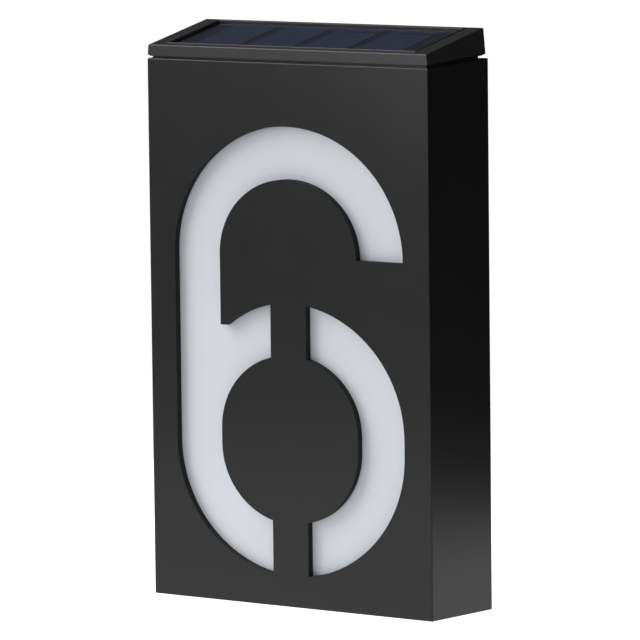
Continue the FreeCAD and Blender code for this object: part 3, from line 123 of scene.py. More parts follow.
def ramp(tree, source, span, values):
    """A Map Range node that goes between two values while the source crosses the span."""
    step = tree.nodes.new("ShaderNodeMapRange")
    for name, value in zip(("From Min", "From Max", "To Min", "To Max"), (*span, *values)):
        step.inputs[name].default_value = value
    tree.links.new(source, step.inputs["Value"])
    return step


def new_piece(name, mesh, finish):
    """An object of the finished mesh, at the origin, with that finish."""
    data = bpy.data.meshes.new(name)
    mesh.to_mesh(data)
    mesh.free()
    piece = bpy.data.objects.new(name, data)
    data.materials.append(finish)
    bpy.context.scene.collection.objects.link(piece)
    return piece


table_white = new_glowing_finish("table_white", (0.86, 0.86, 0.86), 0.62)
reflector_white = new_glowing_finish("reflector_white", (0, 0, 0), 1)
paper = new_glowing_finish("pale_floor", (0, 0, 0), 1.05)

table = bmesh.new()
bmesh.ops.create_circle(table, cap_ends=True, radius=TABLE_RADIUS, segments=ROUND_SIDES)
bmesh.ops.translate(table, verts=table.verts, vec=(0, 0, floor_height))
table_top = new_piece("table_top", table, table_white)

# The reflector is dimmer towards the front, where the floor is further from the lights.
reflector = bmesh.new()
bmesh.ops.create_circle(reflector, cap_ends=True, radius=REFLECTOR_RADIUS, segments=ROUND_SIDES)
bmesh.ops.translate(reflector, verts=reflector.verts, vec=(*REFLECTOR_MIDDLE, floor_height))
floor_reflector = new_piece("floor_reflector", reflector, reflector_white)
floor_reflector.visible_camera = floor_reflector.visible_shadow = False
reflector_tree = reflector_white.node_tree
on_reflector = reflector_tree.nodes.new("ShaderNodeSeparateXYZ")
reflector_tree.links.new(
    reflector_tree.nodes.new("ShaderNodeTexCoord").outputs["Object"], on_reflector.inputs[0])
dimming = ramp(reflector_tree, on_reflector.outputs["Y"], span=(-0.06, 0.04), values=(0.91, 0.99))
feed(reflector_white, "Emission Strength", dimming.outputs["Result"])

# The far floor starts at the table's rim and curves up into a round wall.
ground = bmesh.new()
bmesh.ops.create_circle(ground, radius=TABLE_RADIUS, segments=ROUND_SIDES)
edges = ground.edges[:]
for radius, height in ((FLOOR_RADIUS, 0), (FLOOR_RADIUS + 1, 1), (FLOOR_RADIUS + 1.2, WALL_HEIGHT)):
    made = bmesh.ops.extrude_edge_only(ground, edges=edges)["geom"]
    edges = [part for part in made if isinstance(part, bmesh.types.BMEdge)]
    for vert in [part for part in made if isinstance(part, bmesh.types.BMVert)]:
        outward = vert.co.xy.normalized() * radius
        vert.co = (outward.x, outward.y, height)
bmesh.ops.translate(ground, verts=ground.verts, vec=(0, 0, floor_height))
bmesh.ops.recalc_face_normals(ground, faces=ground.faces)
far_floor = new_piece("far_floor", ground, paper)
for kind in ("glossy", "diffuse", "shadow", "transmission"):
    setattr(far_floor, "visible_" + kind, False)
    setattr(table_top, "visible_" + kind, False)

world = bpy.data.worlds.new("studio")
bpy.context.scene.world = world
world.use_nodes = True
sky = world.node_tree
direction = sky.nodes.new("ShaderNodeSeparateXYZ")
sky.links.new(sky.nodes.new("ShaderNodeTexCoord").outputs["Generated"], direction.inputs[0])
front_to_back = ramp(sky, direction.outputs["Y"], span=(-0.5, 0.5), values=(0.14, 0.036))
front_to_back.interpolation_type = "SMOOTHSTEP"
backdrop = sky.nodes["Background"]
backdrop.inputs["Color"].default_value = (0.97, 0.985, 1, 1)
sky.links.new(front_to_back.outputs["Result"], backdrop.inputs["Strength"])


def add_softbox(name, place, size, power):
    """A flat soft light that points at the middle of the sign."""
    lamp = bpy.data.lights.new(name, "AREA")
    lamp.shape = "RECTANGLE"
    lamp.size, lamp.size_y = size
    lamp.energy = power
    holder = bpy.data.objects.new(name, lamp)
    holder.location = place
    holder.rotation_mode = "QUATERNION"
    holder.rotation_quaternion = (aim - Vector(place)).to_track_quat("-Z", "Y")
    holder.visible_camera = False
    bpy.context.scene.collection.objects.link(holder)
    return holder


# The front card shows only in the shine, and the front fill falls only on what is matt.
add_softbox("left_softbox", place=(-1.25, -0.75, 0.55), size=(0.9, 1.2), power=12.2)
add_softbox("top_softbox", place=(-0.66, -0.27, 1.1), size=(1.1, 1.1), power=12.4)
front_card = add_softbox("front_card", place=(-0.1, -0.5, 0.14), size=(0.22, 0.2), power=1.0)
front_card.visible_diffuse = False
front_fill = add_softbox("front_fill", place=(-0.1, -1.2, 0.3), size=(0.6, 0.6), power=1.6)
front_fill.visible_glossy = False
add_softbox("rear_softbox", place=(-0.5, 1.05, -0.01), size=(0.7, 0.2), power=9)

# ---------------------------------------------------------------- front housing
# One black ABS moulding, drafted towards the front, with the numeral cut through it as a
# stencil. Its faces have the even satin grain of a spark-finished mould, and the walls of the
# cut-out are duller than the front.
NUMERAL_HALF_WIDTH = 0.047
NUMERAL_MIDDLE, NUMERAL_HALF_HEIGHT = -0.0475, 0.0785
FRONT_ROUGHNESS, CUT_ROUGHNESS = 0.3, 0.9
FLOW_SIZE, SHINE_SIZE, GRAIN_SIZE = 0.021, 0.006, 0.00022
SHINE_SPREAD = 0.012
GRAIN_DEPTH = 0.000006


def pattern(finish, size, detail=2, stretch=(1, 1, 1)):
    """A noise on the piece's own coordinates, whose blobs are that size, as a node socket."""
    tree = finish.node_tree
    place = tree.nodes.new("ShaderNodeTexCoord")
    scale = tree.nodes.new("ShaderNodeMapping")
    scale.inputs["Scale"].default_value = [way / size for way in stretch]
    noise = tree.nodes.new("ShaderNodeTexNoise")
    noise.inputs["Scale"].default_value = 1
    noise.inputs["Detail"].default_value = detail
    tree.links.new(place.outputs["Object"], scale.inputs["Vector"])
    tree.links.new(scale.outputs["Vector"], noise.inputs["Vector"])
    return noise.outputs["Fac"]


def spread(finish, source, low, high, centre=0.5, width=0.25):
    """The source's middle values spread out from low to high, as a node socket."""
    span = (centre - width, centre + width)
    return ramp(finish.node_tree, source, span, (low, high)).outputs["Result"]


def mottle(finish, size, dark, light, detail=2, strong=False):
    """The base colour drifts between dark and light in blobs of that size."""
    tree = finish.node_tree
    source = pattern(finish, size, detail)
    if strong:
        source = spread(finish, source, 0, 1)
    mix = tree.nodes.new("ShaderNodeMix")
    mix.data_type = "RGBA"
    mix.inputs["A"].default_value = (*dark, 1)
    mix.inputs["B"].default_value = (*light, 1)
    tree.links.new(source, mix.inputs["Factor"])
    feed(finish, "Base Color", mix.outputs["Result"])


def uneven_shine(finish, size, low, high, detail, stretch=(1, 1, 1)):
    """The roughness drifts between low and high in blobs of that size."""
    feed(finish, "Roughness", spread(finish, pattern(finish, size, detail, stretch), low, high))


def grain(finish, size, depth, detail=2, stretch=(1, 1, 1)):
    """A fine unevenness of that size raises the surface by that depth."""
    tree = finish.node_tree
    bump = tree.nodes.new("ShaderNodeBump")
    bump.inputs["Distance"].default_value = depth
    tree.links.new(pattern(finish, size, detail, stretch), bump.inputs["Height"])
    feed(finish, "Normal", bump.outputs["Normal"])


def moulded_black(name, dark, light, roughness, grain_size=GRAIN_SIZE):
    """Black moulded plastic: a fine even grain, faint flow shading and uneven shine."""
    finish = new_finish(name, light, roughness)
    mottle(finish, FLOW_SIZE, dark, light, 3, strong=True)
    uneven_shine(finish, SHINE_SIZE, roughness - SHINE_SPREAD, roughness + SHINE_SPREAD, 4)
    grain(finish, grain_size, GRAIN_DEPTH)
    return finish


def reckon(finish, operation, *values):
    """One Math node, whose inputs are numbers or sockets."""
    tree = finish.node_tree
    step = tree.nodes.new("ShaderNodeMath")
    step.operation = operation
    for socket, value in zip(step.inputs, values):
        if isinstance(value, bpy.types.NodeSocket):
            tree.links.new(value, socket)
        else:
            socket.default_value = value
    return step.outputs["Value"]


def own_axis(finish, output, kind, axis, turn):
    """A place or a direction on the piece, along one of its axes, after a turn about X."""
    tree = finish.node_tree
    place = tree.nodes.new("ShaderNodeTexCoord")
    level = tree.nodes.new("ShaderNodeMapping")
    level.vector_type = kind
    level.inputs["Rotation"].default_value[0] = turn
    parts = tree.nodes.new("ShaderNodeSeparateXYZ")
    tree.links.new(place.outputs[output], level.inputs["Vector"])
    tree.links.new(level.outputs["Vector"], parts.inputs[0])
    return parts.outputs[axis]


def own_place(finish, axis, turn=0.0):
    """The piece's own coordinate along one axis, after a turn about X, as a node socket."""
    return own_axis(finish, "Object", "POINT", axis, turn)


def edge_faces(finish, flat_axis="Y", turn=0.0):
    """A mask that is 1 on the faces that don't look along the flat axis: walls and edges."""
    looking = own_axis(finish, "Normal", "NORMAL", flat_axis, turn)
    return reckon(finish, "LESS_THAN", reckon(finish, "ABSOLUTE", looking), 0.5)


def dress(finish, *names):
    """Gives a finish to those CAD nodes."""
    for name in names:
        node = nodes[name]
        if not node.material_slots:
            node.data.materials.append(finish)
        for slot in node.material_slots:
            slot.material = finish


housing_black = moulded_black(
    "housing_black", (0.0056, 0.0059, 0.0065), (0.0064, 0.0068, 0.0075), FRONT_ROUGHNESS)
# The cut-out's walls are the faces that don't look forwards, within the numeral's own box.
across, upwards = own_place(housing_black, "X"), own_place(housing_black, "Z")
in_numeral = reckon(
    housing_black, "MULTIPLY",
    reckon(housing_black, "COMPARE", across, 0, NUMERAL_HALF_WIDTH),
    reckon(housing_black, "COMPARE", upwards, NUMERAL_MIDDLE, NUMERAL_HALF_HEIGHT),
)
cut_walls = reckon(housing_black, "MULTIPLY", edge_faces(housing_black), in_numeral)
dull = reckon(housing_black, "MULTIPLY", cut_walls, CUT_ROUGHNESS)
shine = housing_black.node_tree.nodes["Principled BSDF"].inputs["Roughness"]
satin = shine.links[0].from_socket
feed(housing_black, "Roughness", reckon(housing_black, "MAXIMUM", satin, dull))
dress(housing_black, "front_housing")

# ---------------------------------------------------------------- numeral diffuser
# A sheet of opal acrylic behind the cut-out, cut to size, with a satin face. It evens out the
# light of the LEDs at night and looks white by day.
opal = new_finish("opal_white", (0.78, 0.79, 0.80), 0.42)
mottle(opal, 0.03, (0.755, 0.79, 0.837), (0.775, 0.81, 0.857), strong=True)
grain(opal, 0.0003, 0.000003)
dress(opal, "numeral_diffuser")

# ---------------------------------------------------------------- reflector tray
# A shallow box of white polystyrene that spreads the light of the LEDs over the diffuser. It
# is moulded in one piece, smooth inside, and its white is a little uneven.
tray_white = new_finish("tray_white", (0.8, 0.8, 0.78), 0.38)
mottle(tray_white, 0.018, (0.76, 0.755, 0.73), (0.83, 0.83, 0.81), 4, strong=True)
grain(tray_white, 0.0005, 0.000005)
dress(tray_white, "reflector_tray")

# ---------------------------------------------------------------- LED board
# One long board carries the LEDs on the tray's floor. Its lacquer is white so that it gives the
# light back; the sawn edge shows the bare yellowish laminate.


def overlay(finish, mask, colour):
    """Where the mask is 1, another colour covers the mottled base colour."""
    tree = finish.node_tree
    base = tree.nodes["Principled BSDF"].inputs["Base Color"]
    cover = tree.nodes.new("ShaderNodeMix")
    cover.data_type = "RGBA"
    tree.links.new(base.links[0].from_socket, cover.inputs["A"])
    cover.inputs["B"].default_value = (*colour, 1)
    tree.links.new(mask, cover.inputs["Factor"])
    tree.links.new(cover.outputs["Result"], base)


led_board_white = new_finish("led_board_white", (0.78, 0.79, 0.77), 0.34)
mottle(led_board_white, 0.006, (0.74, 0.75, 0.73), (0.82, 0.83, 0.81), 3)
overlay(led_board_white, edge_faces(led_board_white), (0.42, 0.34, 0.16))
grain(led_board_white, 0.0008, 0.00001)
dress(led_board_white, "led_board")

# ---------------------------------------------------------------- LEDs
# Six LEDs in white packages stand on the board. A yellow drop of phosphor fills the well of
# each, and solder holds the four pads at its ends.
LED_HEIGHTS = (-0.108, -0.092, -0.060, -0.036, -0.012, 0.012)
LED_FRONT, LED_BOARD_FRONT = -0.021, -0.0202
LED_LENGTH = 0.0035
WELL_RADIUS, WELL_DEPTH = 0.00088, 0.0003
DROP_TAPER, DROP_FILL, DROP_ROUNDING = 0.92, 0.9, 0.0001
PAD_SIDE, PAD_REACH, PAD_SINK = 0.0007, 0.0001, 0.00002
SOLDER_SIDES = 14
SOLDER_TAPER, SOLDER_ROUNDING = 0.42, 0.3

package_white = new_finish("led_package_white", (0.84, 0.84, 0.8), 0.4)
mottle(package_white, 0.0012, (0.8, 0.8, 0.75), (0.87, 0.87, 0.83))
dress(package_white, "led_packages")

phosphor = new_finish("phosphor_yellow", (0.86, 0.66, 0.08), 0.22)
mottle(phosphor, 0.00035, (0.8, 0.56, 0.05), (0.92, 0.74, 0.14), 3)
well_middle = LED_FRONT + WELL_DEPTH / 2
facing_front = Matrix.Rotation(math.radians(90), 4, "X")
drops = bmesh.new()
for height in LED_HEIGHTS:
    in_well = Matrix.Translation((0, well_middle, height)) @ facing_front
    bmesh.ops.create_cone(drops, cap_ends=True, segments=24, radius1=WELL_RADIUS,
                          radius2=WELL_RADIUS * DROP_TAPER, depth=WELL_DEPTH * DROP_FILL,
                          matrix=in_well)
rims = [edge for edge in drops.edges if all(vert.co.y < well_middle for vert in edge.verts)]
bmesh.ops.bevel(drops, geom=rims, offset=DROP_ROUNDING, segments=3, profile=0.5,
                affect="EDGES", material=-1)
led_drops = new_piece("led_phosphor", drops, phosphor)
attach(led_drops, "sign")


def stand_at(foot, way):
    """The place of a shape whose own Z axis points that way from its foot."""
    return Matrix.Translation(foot) @ Vector(way).to_track_quat("Z", "Y").to_matrix().to_4x4()


def add_solder(mesh, foot, way, radius, height):
    """A cone of solder with a rounded tip, whose foot stands on a board or a plate."""
    known = set(mesh.verts)
    bmesh.ops.create_cone(mesh, cap_ends=True, segments=SOLDER_SIDES, radius1=radius,
                          radius2=radius * SOLDER_TAPER, depth=height)
    tip = [edge for edge in mesh.edges
           if not known.intersection(edge.verts) and all(end.co.z > 0 for end in edge.verts)]
    bmesh.ops.bevel(mesh, geom=tip, offset=radius * SOLDER_ROUNDING, segments=3,
                    profile=0.5, affect="EDGES", material=-1)
    made = [vert for vert in mesh.verts if vert not in known]
    stand = stand_at(foot, way) @ Matrix.Translation((0, 0, height / 2))
    bmesh.ops.transform(mesh, matrix=stand, verts=made)


tin = new_finish("bright_solder", (0.72, 0.72, 0.7), 0.22, 1.0)
mottle(tin, 0.0006, (0.6, 0.6, 0.58), (0.8, 0.8, 0.78), 3)
pads = bmesh.new()
for height in LED_HEIGHTS:
    for end in (-1, 1):
        for side in (-1, 1):
            pad_height = height + end * (LED_LENGTH / 2 + PAD_REACH)
            pad = (side * PAD_SIDE, LED_BOARD_FRONT + PAD_SINK, pad_height)
            add_solder(pads, pad, (0, -1, 0), radius=0.00045, height=0.0003)
led_pads = new_piece("led_solder", pads, tin)
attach(led_pads, "sign")

# ---------------------------------------------------------------- tray screws
# Three self-tapping screws of zinc-plated steel hold the tray, and through it the diffuser, on
# bosses behind the front. A sharp thread with a wide pitch cuts its own way into the plastic.
TRAY_SCREW_PLACES = ((-0.032, 0.035), (0.032, 0.035), (0, -0.076))
TRAY_THREAD_START = -0.0194
THREAD_HEIGHT = 0.0002
THREAD_STEPS = 16


def add_coil(mesh, stand, radius, wire, sides, pitch, turns, steps):
    """A bar with that many sides, wound upwards round the Z axis and then put in its place."""
    known = set(mesh.verts)
    upright = Matrix(((0, 1, 0, radius), (0, 0, 1, 0), (1, 0, 0, 0), (0, 0, 0, 1)))
    bmesh.ops.create_circle(mesh, cap_ends=True, segments=sides, radius=wire, matrix=upright)
    verts = [vert for vert in mesh.verts if vert not in known]
    edges = [edge for edge in mesh.edges if not known.intersection(edge.verts)]
    faces = [face for face in mesh.faces if not known.intersection(face.verts)]
    bmesh.ops.spin(mesh, geom=[*verts, *edges, *faces], cent=(0, 0, 0), axis=(0, 0, 1),
                   dvec=(0, 0, pitch / steps), angle=2 * math.pi * turns,
                   steps=round(steps * turns), use_merge=False)
    made = [vert for vert in mesh.verts if vert not in known]
    bmesh.ops.transform(mesh, matrix=stand, verts=made)
    made_faces = [face for face in mesh.faces if not known.intersection(face.verts)]
    bmesh.ops.recalc_face_normals(mesh, faces=made_faces)


def cut_threads(name, body, starts, way, length, shank, pitch):
    """The threads of one kind of screw, as one piece."""
    threads = bmesh.new()
    for start in starts:
        add_coil(threads, stand_at(start, way), radius=shank, wire=THREAD_HEIGHT, sides=3,
                 pitch=pitch, turns=length / pitch, steps=THREAD_STEPS)
    piece = new_piece(name, threads, screw_zinc)
    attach(piece, body)


screw_zinc = new_finish("zinc_screw", (0.62, 0.62, 0.6), 0.3, 1.0)
mottle(screw_zinc, 0.0014, (0.5, 0.5, 0.48), (0.68, 0.68, 0.67), 4, strong=True)
uneven_shine(screw_zinc, 0.0008, 0.22, 0.42, 3)
dress(screw_zinc, "tray_screws")
tray_starts = [(across, TRAY_THREAD_START, height) for across, height in TRAY_SCREW_PLACES]
cut_threads("tray_screw_threads", "sign", tray_starts, (0, -1, 0),
            length=0.0044, shank=0.0012, pitch=0.001)

# ---------------------------------------------------------------- solar cap
# The wedge cap is a second black moulding, a little greyer and less shiny than the housing. A
# low rim runs round the window for the panel.
cap_black = moulded_black("cap_black", (0.024, 0.0245, 0.0265), (0.028, 0.0285, 0.0305), 0.33)
dress(cap_black, "solar_cap")

# ---------------------------------------------------------------- cap seal, screws and grommet
# A ring of soft rubber lies between cap and housing, a rubber grommet closes the hole for the
# panel's leads, and four screws come up from inside the housing's roof.
CAP_TILT = math.radians(2.0)
CAP_FOOT = 0.04565
CAP_SCREW_RUNS, CAP_SCREW_SIDE = (0.0082, 0.0265), 0.0485
CAP_THREAD_DROP = 0.0014

seal_black = new_finish("seal_rubber", (0.02, 0.02, 0.02), 0.7)
mottle(seal_black, 0.002, (0.014, 0.014, 0.014), (0.032, 0.031, 0.03), 4)
grain(seal_black, 0.0003, 0.00002, 3)
dress(seal_black, "cap_gasket", "wire_grommet")

dress(screw_zinc, "cap_screws")
up_roof = Vector((0, math.cos(CAP_TILT), math.sin(CAP_TILT)))
into_cap = Vector((0, -math.sin(CAP_TILT), math.cos(CAP_TILT)))
cap_starts = []
for run in CAP_SCREW_RUNS:
    for side in (-1, 1):
        foot = Vector((side * CAP_SCREW_SIDE, low_corner.y, CAP_FOOT)) + run * up_roof
        cap_starts.append(foot - CAP_THREAD_DROP * into_cap)
cut_threads("cap_screw_threads", "sign", cap_starts, into_cap,
            length=0.0032, shank=0.0011, pitch=0.0008)

# ---------------------------------------------------------------- solar panel
# Four cells of dark crystalline silicon lie on a navy backsheet with a clear laminate over
# them. Fine fingers run up the slope and thin bars cross them, hardly paler than the silicon.
CAP_SLOPE = math.radians(10.75)
FINGER_PITCH, FINGER_WIDTH = 0.0018, 0.00012
BAR_PITCH, BAR_WIDTH = 0.0126, 0.0005
LAMINATE_IOR = 1.45

panel_black = new_finish("panel_black", (0.006, 0.007, 0.012), 0.35)
mottle(panel_black, 0.004, (0.006, 0.009, 0.019), (0.010, 0.013, 0.026), strong=True)
overlay(panel_black, edge_faces(panel_black, "Z", -CAP_SLOPE), (0.1, 0.09, 0.05))
dress(panel_black, "solar_panel_board")

cell_blue = new_finish("cell_blue", (0.018, 0.026, 0.07), 0.3)
mottle(cell_blue, 0.0035, (0.020, 0.027, 0.069), (0.027, 0.036, 0.086), 3, strong=True)
across = reckon(cell_blue, "PINGPONG", own_place(cell_blue, "X"), FINGER_PITCH / 2)
finger = reckon(cell_blue, "LESS_THAN", across, FINGER_WIDTH / 2)
overlay(cell_blue, finger, (0.05, 0.058, 0.105))
up_slope = reckon(cell_blue, "PINGPONG", own_place(cell_blue, "Y", -CAP_SLOPE), BAR_PITCH / 2)
bar = reckon(cell_blue, "LESS_THAN", up_slope, BAR_WIDTH / 2)
overlay(cell_blue, bar, (0.048, 0.056, 0.1))
dress(cell_blue, "solar_cells")

# Only the laminate's upper face shines: seen from inside, it is clear.
clear_cover = new_finish("clear_cover", (0.95, 0.97, 1.0), 0.09, 1.0)
glance = clear_cover.node_tree.nodes.new("ShaderNodeFresnel")
glance.inputs["IOR"].default_value = LAMINATE_IOR
side_seen = clear_cover.node_tree.nodes.new("ShaderNodeNewGeometry")
upper_only = reckon(
    clear_cover, "SUBTRACT", glance.outputs["Fac"], side_seen.outputs["Backfacing"])
upper_only.node.use_clamp = True
feed(clear_cover, "Alpha", upper_only)
grain(clear_cover, 0.006, 0.000003)
dress(clear_cover, "panel_cover")

foam_tape = new_finish("foam_tape", (0.05, 0.05, 0.052), 0.9)
mottle(foam_tape, 0.0006, (0.03, 0.03, 0.031), (0.08, 0.08, 0.082), 4)
grain(foam_tape, 0.0004, 0.00005, 3)
dress(foam_tape, "panel_adhesive")

# ---------------------------------------------------------------- rear cover
# The rear plate is a third black moulding with a coarser spark-finished grain. Raised grey
# letters name the switch's two places, and the plate sits on a ring of rubber.
COVER_GRAIN = 0.0004
DISH_FLOOR = -0.0013
SWITCH_MIDDLE = -0.092
WORD_SIDE = 0.0054
LETTER_SIZE, LETTER_RISE, LETTER_ROUNDING = 0.0018, 0.00016, 0.00003

cover_black = moulded_black(
    "cover_black", (0.012, 0.0123, 0.013), (0.015, 0.0153, 0.016), 0.5, COVER_GRAIN)
dress(cover_black, "back_cover")
dress(seal_black, "back_cover_seal")

word_grey = new_finish("word_grey", (0.25, 0.25, 0.25), 0.5)
mottle(word_grey, 0.0006, (0.2, 0.2, 0.2), (0.3, 0.3, 0.3), 3)
facing_back = Matrix(((-1, 0, 0, 0), (0, 0, 1, 0), (0, 1, 0, 0), (0, 0, 0, 1)))
letters = bmesh.new()
for word, middle in (("OFF", -WORD_SIDE), ("ON", WORD_SIDE)):
    text = bpy.data.curves.new(word, "FONT")
    text.body = word
    text.align_x, text.align_y = "CENTER", "CENTER"
    text.size = LETTER_SIZE
    text.extrude = LETTER_RISE
    text.bevel_depth = LETTER_ROUNDING
    text.resolution_u = 4
    holder = bpy.data.objects.new(word, text)
    flat = bpy.data.meshes.new_from_object(holder)
    flat.transform(Matrix.Translation((middle, DISH_FLOOR, SWITCH_MIDDLE)) @ facing_back)
    letters.from_mesh(flat)
    bpy.data.objects.remove(holder)
    bpy.data.meshes.remove(flat)
bmesh.ops.remove_doubles(letters, verts=letters.verts, dist=0.000001)
switch_words = new_piece("switch_words", letters, word_grey)
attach(switch_words, "sign")

# ---------------------------------------------------------------- rear cover screws
# Four longer screws of the same zinc-plated steel are sunk in the rear plate and hold it on
# the bosses in the housing's corners.
COVER_SCREW_SIDE, COVER_SCREW_HEIGHTS = 0.0475, (0.037, -0.122)
COVER_THREAD_START = -0.0032

dress(screw_zinc, "back_cover_screws")
cover_starts = [(side * COVER_SCREW_SIDE, COVER_THREAD_START, height)
                for side in (-1, 1) for height in COVER_SCREW_HEIGHTS]
cut_threads("cover_screw_threads", "sign", cover_starts, (0, -1, 0),
            length=0.0074, shank=0.0014, pitch=0.0011)

# ---------------------------------------------------------------- battery door
# A small lid of the same black plastic closes the battery bay in the rear plate. It carries
# its own rubber ring and two short screws, and lifts off with them.
DOOR_SCREW_SIDE, DOOR_SCREW_HEIGHT = 0.031, -0.048
DOOR_THREAD_START = -0.0028

dress(cover_black, "battery_door")
dress(seal_black, "battery_door_seal")
dress(screw_zinc, "battery_door_screws")
door_starts = [(side * DOOR_SCREW_SIDE, DOOR_THREAD_START, DOOR_SCREW_HEIGHT) for side in (-1, 1)]
cut_threads("door_screw_threads", "door", door_starts, (0, -1, 0),
            length=0.0054, shank=0.0011, pitch=0.0009)

# ---------------------------------------------------------------- battery
# One rechargeable AAA cell: a steel can in a shrunk plastic sleeve, with two pale rings round
# the sleeve near its positive end and bare metal at both ends.
CELL_MINUS_END, CELL_PLUS_END = -0.0192, 0.0236
WIDE_RING, WIDE_RING_REACH = 0.0195, 0.0022
THIN_RING, THIN_RING_REACH = 0.0162, 0.0004
RING_WHITE = (0.72, 0.73, 0.7)

sleeve = new_finish("cell_sleeve", (0.02, 0.2, 0.14), 0.28)
mottle(sleeve, 0.009, (0.015, 0.17, 0.12), (0.025, 0.23, 0.16), 3, strong=True)
along = own_place(sleeve, "X")
overlay(sleeve, reckon(sleeve, "COMPARE", along, WIDE_RING, WIDE_RING_REACH), RING_WHITE)
overlay(sleeve, reckon(sleeve, "COMPARE", along, THIN_RING, THIN_RING_REACH), RING_WHITE)
minus_end = reckon(sleeve, "LESS_THAN", along, CELL_MINUS_END)
plus_end = reckon(sleeve, "GREATER_THAN", along, CELL_PLUS_END)
bare_ends = reckon(sleeve, "MAXIMUM", minus_end, plus_end)
overlay(sleeve, bare_ends, (0.66, 0.65, 0.62))
feed(sleeve, "Metallic", bare_ends)
grain(sleeve, 0.003, 0.00002, stretch=(0.3, 1, 1))
dress(sleeve, "battery_cell")

# ---------------------------------------------------------------- battery contacts
# Two stamped plates of nickel-plated steel. The one at the negative end carries a spring of
# three turns, wound from round wire.
SPRING_RADIUS, SPRING_WIRE = 0.0036, 0.00038
SPRING_START, SPRING_END = -0.02462, -0.02006
SPRING_TURNS = 3
BATTERY_Y, BATTERY_Z = -0.0083, -0.048

nickel = new_finish("nickel_contact", (0.66, 0.63, 0.58), 0.26, 1.0)
mottle(nickel, 0.002, (0.56, 0.53, 0.48), (0.72, 0.69, 0.64), 4, strong=True)
uneven_shine(nickel, 0.001, 0.2, 0.36, 3, stretch=(1, 6, 1))
dress(nickel, "battery_spring_contact", "battery_plate_contact")

spring = bmesh.new()
along_battery = (Matrix.Translation((SPRING_START, BATTERY_Y, BATTERY_Z))
                 @ Matrix.Rotation(math.radians(90), 4, "Y"))
add_coil(spring, along_battery, radius=SPRING_RADIUS, wire=SPRING_WIRE, sides=12,
         pitch=(SPRING_END - SPRING_START) / SPRING_TURNS, turns=SPRING_TURNS, steps=32)
contact_spring = new_piece("contact_spring", spring, nickel)
contact_spring.data.shade_smooth()
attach(contact_spring, "sign")

# ---------------------------------------------------------------- control board
# A green board with the charging and dusk circuit, held on two posts of the rear cover. Copper
# tracks show faintly through the lacquer, and its parts are soldered from the rear.
BOARD_REAR = -0.0072
PIN_SIDE = 0.001
HEADER_PLACES, HEADER_HEIGHT = (-0.016, 0, 0.016), -0.081
COIL_AND_CAN_PINS = ((0.0065, -0.0985), (0.0095, -0.0985), (0.015, -0.1), (0.017, -0.1))

board_green = new_finish("board_green", (0.012, 0.1, 0.04), 0.3)
mottle(board_green, 0.005, (0.008, 0.075, 0.03), (0.014, 0.11, 0.045), 3)
board_tree = board_green.node_tree
tracks = board_tree.nodes.new("ShaderNodeTexBrick")
tracks.offset = 0.37
for name, value in (("Scale", 1), ("Mortar Size", 0.00016), ("Mortar Smooth", 0.3),
                    ("Brick Width", 0.0093), ("Row Height", 0.0013)):
    tracks.inputs[name].default_value = value
flat_on_board = board_tree.nodes.new("ShaderNodeMapping")
flat_on_board.inputs["Rotation"].default_value[0] = math.radians(90)
on_board = board_tree.nodes.new("ShaderNodeTexCoord")
board_tree.links.new(on_board.outputs["Object"], flat_on_board.inputs["Vector"])
board_tree.links.new(flat_on_board.outputs["Vector"], tracks.inputs["Vector"])
overlay(board_green, tracks.outputs["Fac"], (0.015, 0.125, 0.05))
overlay(board_green, edge_faces(board_green), (0.4, 0.36, 0.16))
dress(board_green, "control_board")

header_pins = [(x + side * PIN_SIDE, HEADER_HEIGHT) for x in HEADER_PLACES for side in (-1, 1)]
pins = bmesh.new()
for x, z in (*header_pins, *COIL_AND_CAN_PINS):
    add_solder(pins, (x, BOARD_REAR, z), (0, 1, 0), radius=0.0006, height=0.0007)
board_solder = new_piece("board_solder", pins, tin)
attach(board_solder, "sign")

# ---------------------------------------------------------------- driver chip
# The chip that charges the cell by day and feeds the LEDs at night: a black moulded body with
# two rows of tinned legs.
CHIP_MIDDLE = -0.006
CHIP_HALF_WIDTH = 0.002

chip_black = new_finish("chip_black", (0.018, 0.018, 0.019), 0.55)
mottle(chip_black, 0.0007, (0.012, 0.012, 0.013), (0.024, 0.024, 0.026), 3)
off_chip = reckon(chip_black, "SUBTRACT", own_place(chip_black, "X"), CHIP_MIDDLE)
legs = reckon(chip_black, "GREATER_THAN", reckon(chip_black, "ABSOLUTE", off_chip), CHIP_HALF_WIDTH)
overlay(chip_black, legs, (0.66, 0.66, 0.64))
feed(chip_black, "Metallic", legs)
grain(chip_black, 0.0002, 0.00001)
dress(chip_black, "driver_chip")

# ---------------------------------------------------------------- power inductor
# A drum of dark ferrite stands on the board, with two layers of enamelled copper wire wound
# round its waist.
FERRITE_X, FERRITE_Z = 0.008, -0.097
WINDING_START = -0.0095
WAIST_RADIUS = 0.0021
WINDING_WIRE = 0.00019
LAYER_RISE = 1.8
FIRST_LAYER_TURNS = 7

ferrite = new_finish("ferrite", (0.03, 0.03, 0.032), 0.5)
mottle(ferrite, 0.0006, (0.018, 0.018, 0.02), (0.05, 0.05, 0.052), 5, strong=True)
grain(ferrite, 0.0003, 0.00003, 4)
dress(ferrite, "power_inductor")

copper = new_finish("enamelled_copper", (0.62, 0.24, 0.08), 0.25, 1.0)
mottle(copper, 0.0008, (0.5, 0.17, 0.05), (0.7, 0.29, 0.11), 3)
winding = bmesh.new()
for layer in range(2):
    start = (FERRITE_X, WINDING_START - WINDING_WIRE * layer, FERRITE_Z)
    add_coil(winding, Matrix.Translation(start) @ facing_front,
             radius=WAIST_RADIUS + WINDING_WIRE * (1 + LAYER_RISE * layer), wire=WINDING_WIRE,
             sides=8, pitch=2 * WINDING_WIRE, turns=FIRST_LAYER_TURNS - layer, steps=28)
copper_winding = new_piece("copper_winding", winding, copper)
copper_winding.data.shade_smooth()
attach(copper_winding, "sign")

